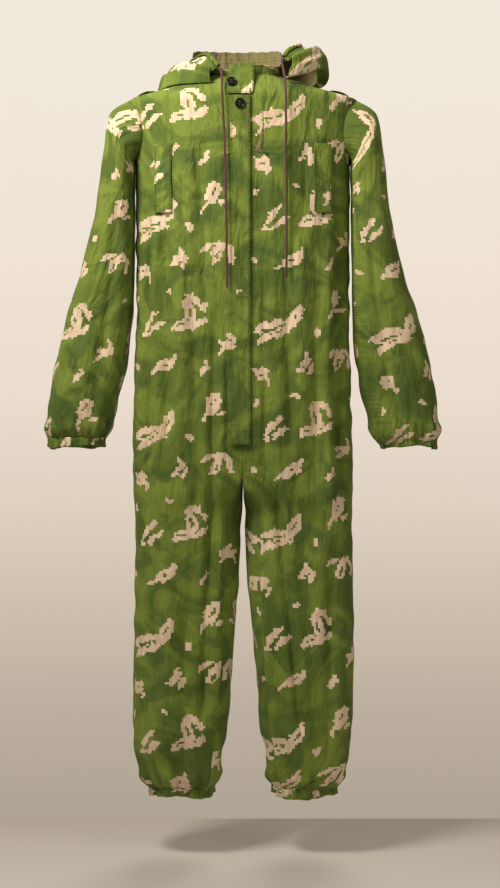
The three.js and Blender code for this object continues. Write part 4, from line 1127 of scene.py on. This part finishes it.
def button_dressing(name, body):
    """A raised rim and the thread across the four holes of a button."""
    low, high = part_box(name)
    middle = (Vector(low) + Vector(high)) / 2
    lean = math.radians(22.6) if name == "collar_button" else 0.0
    face = Vector((0, -math.cos(lean), math.sin(lean)))
    up = Vector((0, math.sin(lean), math.cos(lean)))
    place = Vector((1, 0, 0)), up, face
    bm = bmesh.new()
    circle = bmesh.ops.create_circle(bm, segments=8, radius=1.15 * MM)["verts"]
    for v in circle:
        x, y = v.co.x, v.co.y
        v.co = Vector(((9.2 * MM + x), 0, y * 0.75))
    edges = list({e for v in circle for e in v.link_edges})
    bmesh.ops.spin(bm, geom=circle + edges, axis=(0, 0, 1), cent=(0, 0, 0), angle=math.tau, steps=36,
                   use_merge=True)
    bmesh.ops.remove_doubles(bm, verts=bm.verts, dist=1e-6)
    bmesh.ops.recalc_face_normals(bm, faces=bm.faces)
    for v in bm.verts:
        at = v.co.copy()
        v.co = middle + place[0] * at.x + place[1] * at.y + place[2] * (at.z + 1.55 * MM)
    rim = finish_mesh(bm, f"{name}_rim", button_plastic)
    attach(rim, body)
    bm = bmesh.new()
    for row in (-2.5, 2.5):
        for strand in (-0.5, 0.5):
            a = middle + place[0] * (-3.1 * MM) + place[1] * ((row + strand) * MM) + place[2] * 1.75 * MM
            b = middle + place[0] * (3.1 * MM) + place[1] * ((row + strand) * MM) + place[2] * 1.75 * MM
            turn = (b - a).to_track_quat("Z", "Y").to_matrix().to_4x4()
            turn.translation = (a + b) / 2
            bmesh.ops.create_cone(bm, cap_ends=True, segments=6, radius1=0.45 * MM, radius2=0.45 * MM,
                                  depth=(b - a).length, matrix=turn)
    sewn = finish_mesh(bm, f"{name}_thread", thread)
    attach(sewn, body)


# ---------------------------------------------------------------- collar and chin tab
def collar(side, sign, a, b, past):
    """Half of the stand collar, lower at the front. The left half laps past the middle."""
    columns, rows = 60, 8
    start = math.pi / 2
    sweep = -sign * (math.pi + past / a)
    points, places = np.zeros((columns + 1, rows + 1, 3)), np.zeros((columns + 1, rows + 1, 2))
    power = 2 / ROUNDNESS
    for i in range(columns + 1):
        t = start + sweep * i / columns
        c, s = math.cos(t), math.sin(t)
        for j in range(rows + 1):
            v = j / rows
            grow = 1.2 * v * wander(i * 0.13, v, sign * 4.0)
            x = (a + grow) * math.copysign(abs(c) ** power, c)
            y = (b + grow) * math.copysign(abs(s) ** power, s)
            open_front = float(smooth((20 - y) / 60))
            dip = (17 + 15 * math.exp(-((x + 4) / 42) ** 2) if sign < 0 else 16) * open_front
            points[i, j] = (x, y, -6 + (42 - dip) * v + 1.2 * v * wander(i * 0.09, 9.0, sign * 2.0))
            places[i, j] = (sign * i * 3.6 + 210 * sign, 42 * v + 640)
    obj = band(f"stand_collar_{side}", points, places, 1.7, camouflage, khaki)
    total = sum(p.normal.dot(Vector((p.center.x, p.center.y, 0))) for p in obj.data.polygons)
    if total < 0:
        obj.data.flip_normals()
    co = co_of(obj) / MM
    paint_gather(obj, 0.8 * np.exp(-((co[:, 2] - 33) / 5.0) ** 2), np.arctan2(co[:, 1], co[:, 0]) * 0.07)
    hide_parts(f"collar_{side}")
    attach(obj, "torso")
    for height in (0.12, 0.93):
        row = points[2:-2, 0] * (1 - height) + points[2:-2, -1] * height
        out = row[:, :2] / np.linalg.norm(row[:, :2], axis=1)[:, None]
        row = np.column_stack([row[:, :2] + out * 0.3, row[:, 2]])
        stitches("torso", row)


TAB_BOTTOM_Z, TAB_LEAN = -48.7, math.atan(35 / 84)
TAB_BACK_Y = float(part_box("chin_tab")[0][1]) / MM + 1.8 * math.cos(TAB_LEAN)


def tab_point(x, up, out):
    """A place on the chin tab: up its length and out from its back face, mm."""
    c, s = math.cos(TAB_LEAN), math.sin(TAB_LEAN)
    return (x, TAB_BACK_Y - out * c + up * s, TAB_BOTTOM_Z + up * c + out * s)


def chin_tab():
    """The tab that crosses the neck opening: a crooked strip buttoned at its foot."""
    columns, rows = 20, 28
    points, places = np.zeros((columns + 1, rows + 1, 3)), np.zeros((columns + 1, rows + 1, 2))
    for i in range(columns + 1):
        for j in range(rows + 1):
            u, v = i / columns, j / rows
            corner = 5.0 * max(0, abs(2 * u - 1) - 0.8) / 0.2 * max(0, 0.12 - v) / 0.12
            left = -38 + 26 * float(smooth((v - 0.25) / 0.75))
            x = left + (22 - left) * u + (1.5 if u < 0.5 else -1.5) * (1 - v) ** 3
            points[i, j] = tab_point(x, 75 * v + corner, 1.8 + 0.6 * abs(wander(u * 2.2, v * 3, 5.0)))
            places[i, j] = (x + 96, 84 * v + 352)
    obj = turn_out(band("chin_tab_cloth", points, places, 1.7), (0, -1, 0.3))
    co = co_of(obj) / MM
    away = np.minimum(co[:, 0] + 38, 22 - co[:, 0])
    paint_gather(obj, np.exp(-(away / 5.0) ** 2), co[:, 2] * MM)
    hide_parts("chin_tab")
    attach(obj, "torso")
    loop = [tab_point(x, up, 2.2) for x, up in
            [(-12, 72), (-17, 56), (-27, 40), (-34, 24), (-35, 6), (-32, 3), (16, 3), (19, 6), (19, 72)]]
    stitches("torso", loop)
    stitches("torso", [tab_point(x, 27 + 0.8, 2.3) for x in (-33, -12)])


# ---------------------------------------------------------------- strips and loops for foliage
def chest_strip(side, sign):
    """A strip stitched down both long edges and open at its ends, with diagonal drag lines."""
    face = next(m for m in frame["record"]["mounts"] if m["name"] == f"chest_strip_{side}_face")
    centre, out = Vector(face["pos_m"]) / MM, Vector(face["axis"])
    across = Vector((0, 0, 1)).cross(out).normalized()
    columns, rows = 16, 56
    points, places = np.zeros((columns + 1, rows + 1, 3)), np.zeros((columns + 1, rows + 1, 2))
    for i in range(columns + 1):
        for j in range(rows + 1):
            u, v = i / columns - 0.5, j / rows - 0.5
            middle = 1 - (2 * u) ** 2
            drag = 2.4 * math.sin(v * 40 + u * 7 * sign + 3 * wander(v * 3, u * 0.6, sign)) * middle * (
                0.55 + 0.45 * wander(v * 5, u, sign))
            bulge = 0.9 * middle * (1 + wander(v * 4, 2.0, sign)) + drag * 0.5
            end = smooth((abs(v) - 0.44) / 0.06) * middle * (1.6 if v < 0 else 0.6)
            waist = 1 - 0.05 * math.cos(v * 7 + sign)
            p = (centre + across * (38 * u * waist) + Vector((0, 0, 142 * v))
                 + out * (bulge + float(end) - 1.3))
            points[i, j] = p
            places[i, j] = (38 * u + 150 + 60 * sign, 142 * v + 120)
    obj = turn_out(band(f"chest_strip_{side}_cloth", points, places, 1.3, bevel=0.4), out)
    spread = np.abs((co_of(obj) / MM - np.array(centre)) @ np.array(across))
    paint_gather(obj, 0.4 * np.exp(-((spread - 16) / 5.5) ** 2), co_of(obj)[:, 2])
    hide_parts(f"chest_strip_{side}")
    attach(obj, "torso")
    for u in (-0.43, 0.43):
        stitches("torso", [centre + across * (38 * u) + Vector((0, 0, z)) + out * -0.5 for z in (-68, 0, 68)])


def shoulder_loop(side, sign):
    """A short loop over the shoulder, arched at its front edge and sewn down at both ends."""
    face = next(m for m in frame["record"]["mounts"] if m["name"] == f"shoulder_loop_{side}_face")
    centre, out = Vector(face["pos_m"]) / MM, Vector(face["axis"])
    along_it = Vector((0, 1, 0)).cross(out).normalized()
    columns, rows = 18, 12
    points, places = np.zeros((columns + 1, rows + 1, 3)), np.zeros((columns + 1, rows + 1, 2))
    for i in range(columns + 1):
        for j in range(rows + 1):
            u, v = i / columns - 0.5, j / rows - 0.5
            arch = 6.0 * max(0.0, 1 - (2 * u) ** 2) ** 0.7
            front = 0.5 - v
            p = (centre + along_it * (44 * u) + Vector((0, 26 * v - 9 * front, 0))
                 + out * (arch * (0.25 + 0.75 * front) - 1.2 - 1.5 * front))
            points[i, j] = p
            places[i, j] = (44 * u + 80 * sign, 26 * v + 205)
    obj = turn_out(band(f"shoulder_loop_{side}_cloth", points, places, 1.3, bevel=0.4), out)
    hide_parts(f"shoulder_loop_{side}")
    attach(obj, "torso")
    for u in (-0.45, 0.45):
        foot = centre + along_it * (44 * u) + out * 0.3
        stitches("torso", [foot + Vector((0, y, 0)) for y in (-11, 0, 11)])


# ---------------------------------------------------------------- hood laid back
POUCH_Y, POUCH_HALF_DEPTH = 110.6, 15.0
BACK_Y = POUCH_Y + POUCH_HALF_DEPTH
HOOD = {
    "right": ([(-50, -74, 12), (-74, -56, 40), (-100, -12, 40), (-104, 36, 46), (-64, BACK_Y - 32, 54),
               (-1.6, BACK_Y - 18, 57)],
              [(-66, -80, -8), (-118, -66, -10), (-173, -20, -25.6), (-174, 46, -16), (-116, BACK_Y - 12, 5),
               (-0.2, BACK_Y - 1, 4)]),
    "left": ([(84, -62, 34), (96, -50, 52), (118, -14, 70), (112, 36, 64), (64, BACK_Y - 32, 58),
              (1.6, BACK_Y - 18, 57)],
             [(92, -76, -8), (128, -62, 0), (174, -20, 8), (176, 46, -4), (116, BACK_Y - 12, 5),
              (0.2, BACK_Y - 1, 4)]),
}
COWL_PUFF = 16
SHOULDER_FALL = 45 / 162
SHOULDER_LEVELS = np.linspace(0, -170, 341)
LEVEL_SIZES = [np.interp(-SHOULDER_LEVELS, BODY_DEPTHS, sizes)
               for sizes in (BODY_HALF_WIDTHS, BODY_HALF_THICKS)]


def shoulder_height(x, y):
    """Height of the body's cloth under a place, mm."""
    a, b = LEVEL_SIZES
    inside = (np.minimum(abs(x) / a, 2) ** ROUNDNESS + np.minimum(abs(y) / b, 2) ** ROUNDNESS) <= 1
    found = np.argmax(inside) if inside.any() else len(SHOULDER_LEVELS) - 1
    return float(SHOULDER_LEVELS[found])


def cowl(side, sign):
    """One side of the hood: puffed from its face edge down to a fold, then under and back to the neck."""
    columns, rows, under = 90, 26, 9
    face, lower = (along(p, columns + 1) for p in HOOD[side])
    points = np.zeros((columns + 1, rows + 1 + under, 3))
    places = np.zeros((columns + 1, rows + 1 + under, 2))
    run = 0.0
    for i in range(columns + 1):
        u = i / columns
        if i:
            run += np.linalg.norm((face[i] + lower[i]) / 2 - (face[i - 1] + lower[i - 1]) / 2)
        low = lower[i].copy()
        settle = float(smooth((0.72 - u) / 0.3)) * (1.0 if side == "right" else 0.0)
        rest = shoulder_height(low[0], low[1]) + 5
        low[2] += (min(low[2], max(rest, low[2] - 22)) - low[2]) * settle
        if side == "left":                                # stands open over the shoulder
            low[2] += 15 * math.exp(-((u - 0.30) / 0.15) ** 2)
        long = np.linalg.norm(low - face[i])
        inset = 4.6 / long
        lengthwise = (face[i] - low) / long
        full = 0.55 + 0.45 * float(smooth(u / 0.5)) if side == "right" else 1.0
        puff = COWL_PUFF * (1 - u ** 6 * 0.6) * full
        for j in range(rows + 1 + under):
            v = min(j / rows, 1.0)
            belly = math.sin(math.pi * v ** 1.25)
            p = face[i] + (low - face[i]) * (inset + (1 - inset) * v)
            p = p + np.array([sign * puff * belly * (1 - u ** 4) * 0.8,
                              -5 * belly * float(smooth((0.5 - u) / 0.3)), puff * belly])
            # creases that fan out from the throat, drawn tight beside the casing
            crease = math.sin(v * 15 + 2.4 * wander(u * 3, v * 2, sign * 3.0) + u * 6) * math.sin(math.pi * v)
            puckers = math.sin(run * 0.62 + 1.5 * wander(run * 0.03, 1.0, sign))
            puckers *= math.exp(-(v / 0.16) ** 2)
            soft = wander(u * 5, v * 3.0, sign * 6.0) * math.sin(math.pi * v)
            p[2] += 3.4 * crease * (1 - 0.5 * u) + 0.9 * puckers + 5.0 * soft
            p[1] -= 2.0 * crease * (u < 0.6)
            if j > rows:                                  # the fold turns under, then runs back
                k = (j - rows) / under
                p = p + lengthwise * (34 * k ** 1.4) * np.array([1, 1, 0.15])
                p[2] += -5.5 * math.sin(min(1.0, k * 2.2) * math.pi / 2)
                p[2] = max(p[2], min(low[2] - 0.5, shoulder_height(p[0], p[1]) + 2.6))
            points[i, j] = p
            places[i, j] = (sign * (run + 40), 820 - long * v - 4.0 * max(0, j - rows))
    bm = bmesh.new()
    add_grid(bm, points * MM, places * MM)
    bmesh.ops.recalc_face_normals(bm, faces=bm.faces)
    top = [f for f in bm.faces if f.calc_center_median().z > 0.012]
    if sum(f.normal.z * f.calc_area() for f in top) < 0:
        bmesh.ops.reverse_faces(bm, faces=bm.faces[:])
    obj = finish_mesh(bm, f"hood_side_{side}", camouflage, khaki)
    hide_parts(f"cowl_{side}")
    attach(obj, "torso")
    thicken(obj, 1.1 * MM)
    return obj


def casing(side, sign):
    """The rolled edge round the face opening, puckered along the drawcord inside it."""
    columns, around = 180, 16
    face, lower = (along(p, columns + 1) for p in HOOD[side])
    tangent = np.gradient(face, axis=0)
    tangent /= np.linalg.norm(tangent, axis=1)[:, None]
    points, places = np.zeros((columns + 1, around + 1, 3)), np.zeros((columns + 1, around + 1, 2))
    run = 0.0
    for i in range(columns + 1):
        if i:
            run += np.linalg.norm(face[i] - face[i - 1])
        inward = lower[i] - face[i]
        inward = inward - tangent[i] * inward.dot(tangent[i])
        inward /= np.linalg.norm(inward)
        across = np.cross(tangent[i], inward)
        pucker = math.sin(run / 7.5 * 2 * math.pi + 2.5 * wander(run * 0.02, 5.0, sign))
        for j in range(around + 1):
            turn = math.radians(22 + 316 * j / around)
            radius = (4.9 + 0.55 * pucker * (0.6 + 0.4 * math.cos(turn * 2 + i))
                      + 0.3 * wander(run * 0.2, turn, sign))
            points[i, j] = face[i] + inward * radius * math.cos(turn) + across * radius * math.sin(turn)
            places[i, j] = (sign * (run + 30), 870 + 30 * j / around)
    bm = bmesh.new()
    add_grid(bm, points * MM, places * MM)
    bmesh.ops.recalc_face_normals(bm, faces=bm.faces)
    total = 0.0
    centres = [Vector(p * MM) for p in face[::6]]
    for f in bm.faces:
        c = f.calc_center_median()
        near = min(centres, key=lambda p: (p - c).length_squared)
        total += (c - near).dot(f.normal)
    if total < 0:
        bmesh.ops.reverse_faces(bm, faces=bm.faces[:])
    for f in bm.faces:                                    # behind the neck its inner side is khaki
        c = f.calc_center_median() / MM
        if c.y > 22 and f.normal.y < 0.35:
            f.material_index = 1
    obj = finish_mesh(bm, f"hood_edge_{side}", camouflage, khaki)
    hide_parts(f"hood_casing_{side}")
    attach(obj, "torso")
    thicken(obj, 0.8 * MM, inner_material=0)
    # the row of stitches that closes the casing
    line = []
    for i in range(4, columns - 2):
        inward = lower[i] - face[i]
        inward /= np.linalg.norm(inward)
        belly = math.sin(math.pi * 8.5 / np.linalg.norm(lower[i] - face[i]))
        line.append(face[i] + inward * 8.5 + np.array([0, 0, COWL_PUFF * belly * 0.9 + 0.6]))
    stitches("torso", line)


def oval_point(a, b, turn):
    """A point of a rounded oval."""
    c, s = math.cos(turn), math.sin(turn)
    power = 2 / ROUNDNESS
    return np.array([a * math.copysign(abs(c) ** power, c), b * math.copysign(abs(s) ** power, s)])


def neck_layer(side, sign):
    """The hood's lower layer, khaki side up, from the neck seam out over the shoulder."""
    lower = along(HOOD[side][1], 241)
    columns, rows = 44, 14
    points, places = np.zeros((columns + 1, rows + 1, 3)), np.zeros((columns + 1, rows + 1, 2))
    for i in range(columns + 1):
        u = i / columns
        near = oval_point(80, 62, math.pi * (0.5 + 0.62 * (1 - u)))
        near = np.array([sign * max(0.2, abs(near[0])), near[1], 0.6])
        far = lower[int(round((0.34 + 0.66 * u) * 240))].copy()
        backness = float(smooth((u - 0.3) / 0.45))
        far[0] -= sign * 10 * (1 - backness)
        far[1] -= backness * (2 * POUCH_HALF_DEPTH + 4)
        far[2] = 2 - max(0, abs(far[0]) - 78) * SHOULDER_FALL
        for j in range(rows + 1):
            v = j / rows
            p = near + (far - near) * v
            p[0] = sign * max(1.0, abs(p[0]))
            p[2] += 2.4 * math.sin(math.pi * v) * (1 + wander(u * 7, v * 3, sign * 2.0)) + 0.5
            points[i, j] = p
            places[i, j] = (sign * u * 260, v * 90)
    bm = bmesh.new()
    add_grid(bm, points * MM, places * MM)
    bmesh.ops.recalc_face_normals(bm, faces=bm.faces)
    obj = turn_out(finish_mesh(bm, f"hood_neck_{side}", khaki, camouflage), (0, 0, 1))
    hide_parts(f"hood_neck_band_{side}")
    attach(obj, "torso")
    thicken(obj, 0.9 * MM)


def pouch():
    """The bag of the hood, hanging behind the shoulders, two layers thick and flat."""
    sections = np.array([[-2, 148.5, 15], [-58, 165, 15], [-121, 153.5, 15], [-170, 122, 13.5],
                         [-189, 91, 10.5], [-194.2, 69, 6]], float)
    columns, rows = 128, 44
    points, places = np.zeros((columns + 1, rows + 3, 3)), np.zeros((columns + 1, rows + 3, 2))
    for j in range(rows + 3):
        z = -2 - 192.2 * (min(j, rows) / rows) ** 0.9
        a, b = (np.interp(-z, -sections[:, 0], sections[:, k]) for k in (1, 2))
        close = (1.0, 0.55, 0.12)[max(0, j - rows)]
        ring, _ = closed_ring(0, a, b * close, np.linspace(0, 1, columns + 1))
        for i, (x, y) in enumerate(ring):
            fold = (2.6 * wander(x * 0.018, z * 0.006, 2.0)
                    + 1.6 * math.sin(x * 0.085 + wander(z * 0.012, 1.0) * 2) * smooth((-z - 20) / 60))
            rim = smooth((j + 1) / 6)
            inwards = 1.0 if y < 0 else -1.0
            squeeze = abs(fold) * rim * 0.9
            points[i, j] = (x * (1 - 0.012 * abs(wander(z * 0.03, x * 0.01))),
                            POUCH_Y + y + inwards * float(squeeze), z - (j > rows) * 0.6 * (j - rows))
            places[i, j] = (x + (0 if y > 0 else 400), z)
    bm = bmesh.new()
    add_grid(bm, points * MM, places * MM)
    bmesh.ops.remove_doubles(bm, verts=bm.verts, dist=2e-5)
    face_away(bm, lambda z: (0, POUCH_Y * MM, z))
    obj = finish_mesh(bm, "hood_bag", camouflage, khaki)
    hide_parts("hood_right", "hood_left")
    thicken(obj, 1.1 * MM)
    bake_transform(obj)
    stitches("hood", [(0, BACK_Y - 0.6, z) for z in range(-60, -186, -6)])


def neck_lining():
    """The hood's khaki facing, upright behind the neck inside the rolled edge, with two rows of stitches."""
    columns, rows = 72, 10
    points, places = np.zeros((columns + 1, rows + 1, 3)), np.zeros((columns + 1, rows + 1, 2))
    for i in range(columns + 1):
        turn = math.radians(-86 + 172 * i / columns)
        crest = 78 - 16 * (abs(turn) / 1.5) ** 3 + 2.5 * wander(turn * 2.2, 4.0)
        for j in range(rows + 1):
            v = j / rows
            lean = 5 * math.sin(v * 2.6) + 1.6 * wander(turn * 3, v * 1.5, 8.0)
            points[i, j] = (-12 + (90 + lean) * math.sin(turn), 14 + (68 + lean) * math.cos(turn),
                            32 + (crest - 32) * v + 0.8 * math.sin(i * 0.9 + 3 * wander(i * 0.1, v)))
            places[i, j] = (130 * turn, 46 * v)
    obj = band("hood_neck_facing", points, places, 0.9, khaki, khaki, bevel=0.3)
    co = co_of(obj) / MM
    paint_gather(obj, np.exp(-((co[:, 2] - 60) / 6.0) ** 2), co[:, 0] * MM)
    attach(obj, "torso")
    for height in (0.45, 0.62):
        row = points[3:-3, 0] * (1 - height) + points[3:-3, -1] * height
        inwards = np.array([-12, 14, 0]) - row
        inwards[:, 2] = 0
        inwards /= np.linalg.norm(inwards, axis=1)[:, None]
        stitches("torso", row + inwards * 4.2)


def label_tape():
    """Tape stitched inside the back of the hood."""
    face, lower = (along(p, 181) for p in HOOD["right"])
    points, places = np.zeros((13, 5, 3)), np.zeros((13, 5, 2))
    for i in range(13):
        u = (12 + 3 * i / 12) / 18                        # from two thirds to five sixths of the way round
        k = int(round(u * 180))
        long = np.linalg.norm(lower[k] - face[k])
        for j in range(5):
            v = j / 4 * 0.28
            lift = COWL_PUFF * math.sin(math.pi * v) * (1 - u ** 6 * 0.6)
            inset = 4.6 / long
            p = face[k] + (lower[k] - face[k]) * (inset + (1 - inset) * v)
            points[i, j] = p + np.array([-lift * (1 - u ** 4) * 0.8, 0, lift - 6.5])
            places[i, j] = (i * 4.0, j * 5.0)
    obj = turn_out(band("hood_inside_tape", points, places, 0.8, khaki, khaki, bevel=0.2), (0, -0.3, -1))
    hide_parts("hood_tape")
    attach(obj, "torso")


# ---------------------------------------------------------------- assembly
for side, sign in SIDES:
    gather(bodies[side], ANKLES[side], 62, 1.0 + sign, 2.6)
    gather(sleeves[side], CUFFS[side], 70, 4.0 + sign, 2.6)
    keep_clear(bodies[side], sign, False)
    keep_clear(sleeves[side], sign, True)
    for obj, place in ((bodies[side], ANKLES[side]), (sleeves[side], CUFFS[side])):
        co = co_of(obj)
        x, y, z = (co / MM).T
        near = smooth((place[3] + 34 - z) / 34)
        if obj is bodies[side]:
            seams = np.exp(-((sign * x - 6) / 7) ** 2) * (z > -830) * (y > 0) * 0.35
        else:                                             # the seam along the inside of the sleeve
            inside = np.interp(-z, [172, 480, 751], [226.5, 231, 290])
            seams = np.exp(-((sign * x - inside) / 12) ** 2) * (z < -180) * 0.3
        run = np.where(near > 0.02, hem_turn(x, y, place) * HEM_RADIUS, co[:, 2])
        paint_gather(obj, np.maximum(near * 1.3, seams), run)
    body, arm = bodies[side], sleeves[side]
    extra = ["crotch_gusset"] if side == "left" else []
    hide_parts(f"front_{side}", f"back_{side}", f"{side}_leg_front", f"{side}_leg_back", *extra)
    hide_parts(f"{side}_sleeve_front", f"{side}_sleeve_back")
    thicken(body, 1.2 * MM)
    thicken(arm, 1.2 * MM)
    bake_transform(body)
    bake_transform(arm)
    for name, place, seed, limb in (("ankle", ANKLES[side], 1.0 + sign, "leg"),
                                    ("cuff", CUFFS[side], 4.0 + sign, "sleeve")):
        place = (sign * abs(place[0]), *place[1:])
        ring = hem(f"{name}_hem_{side}", place, seed)
        ring_co = co_of(ring) / MM
        paint_gather(ring, np.full(len(ring_co), 0.9),
                     hem_turn(ring_co[:, 0], ring_co[:, 1], place) * HEM_RADIUS)
        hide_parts(f"{side}_{name}_hem", f"{side}_{name}_elastic")
        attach(ring, f"{side}_{limb}")
        thicken(ring, 0.7 * MM)
    cowl(side, sign)
    casing(side, sign)
    neck_layer(side, sign)
    chest_strip(side, sign)
    shoulder_loop(side, sign)

pouch()
neck_lining()
label_tape()
closure()
chin_tab()
collar("right", -1, 73.2, 55.2, 0)
collar("left", 1, 75.6, 57.6, 24)
for name in ("collar_button", "placket_button", *[f"fly_button_{k}" for k in range(1, 6)]):
    nodes[name].data.materials.clear()
    nodes[name].data.materials.append(button_plastic)
    button_dressing(name, "torso")
nodes["hood_drawcord"].data.materials.clear()
nodes["hood_drawcord"].data.materials.append(cased_lace)
finish_stitches()

# ---------------------------------------------------------------- floor and soft light
bm = bmesh.new()
bmesh.ops.create_grid(bm, x_segments=8, y_segments=8, size=1)
bmesh.ops.scale(bm, verts=bm.verts, vec=(1.45, 1.0, 1))
bmesh.ops.translate(bm, verts=bm.verts, vec=(0, -0.70, -1.62))
floor = finish_mesh(bm, "floor", floor_paint, shade=False)


def soft_light(name, place, aim, watts, size, tint):
    """A square softbox at place that looks at aim."""
    lamp = bpy.data.lights.new(name, "AREA")
    lamp.energy, lamp.size, lamp.color = watts, size, colour(tint)[:3]
    holder = bpy.data.objects.new(name, lamp)
    holder.location = place
    holder.rotation_euler = (Vector(aim) - Vector(place)).to_track_quat("-Z", "Y").to_euler()
    scene.collection.objects.link(holder)


soft_light("overhead softbox", (-0.85, -0.9, 0.82), (0, 0, -0.15), 36, 0.55, "#fff6ea")
soft_light("side fill", (1.9, -1.8, 0.6), (0, 0, -0.5), 10, 1.2, "#fff1e0")
soft_light("back softbox", (0.4, 2.4, 0.9), (0, 0, -0.6), 40, 1.6, "#fff6ea")

# world: lit by an even pale cream light; what the camera sees behind is a painted gradient, brighter towards
# the top, with painted shade towards the bottom
world = bpy.data.worlds.new("studio")
scene.world = world
world.use_nodes = True
sky = world.node_tree
sky.nodes.clear()
direction = node(sky, "ShaderNodeTexCoord").outputs["Generated"]
height = node(sky, "ShaderNodeSeparateXYZ", {0: direction}).outputs[2]
share = node(sky, "ShaderNodeMapRange", {"Value": height, "From Min": -0.27, "From Max": 0.27}).outputs[0]
ramp = node(sky, "ShaderNodeValToRGB", {0: share})
stops = [(0.0, "#a99d8e"), (0.10, "#b0a495"), (0.20, "#bcae9e"), (0.32, "#cfc0ae"), (0.44, "#e0d2c1"),
         (0.56, "#ebdccd"), (0.70, "#efe2d3"), (0.86, "#f1e8da"), (1.0, "#f2eadd")]
for end, (place, tint) in zip(ramp.color_ramp.elements, (stops[0], stops[-1])):
    end.position, end.color = place, colour(tint)
for place, tint in stops[1:-1]:
    ramp.color_ramp.elements.new(place).color = colour(tint)
# the backdrop's painted light and shade, seen only by the camera
seen = node(sky, "ShaderNodeBackground", {"Color": ramp.outputs[0], "Strength": 1.0})
light = node(sky, "ShaderNodeBackground", {"Color": colour("#fff2e2"), "Strength": 0.20})
which = node(sky, "ShaderNodeLightPath").outputs["Is Camera Ray"]
both = node(sky, "ShaderNodeMixShader", {0: which, 1: light.outputs[0], 2: seen.outputs[0]})
node(sky, "ShaderNodeOutputWorld", {"Surface": both.outputs[0]})
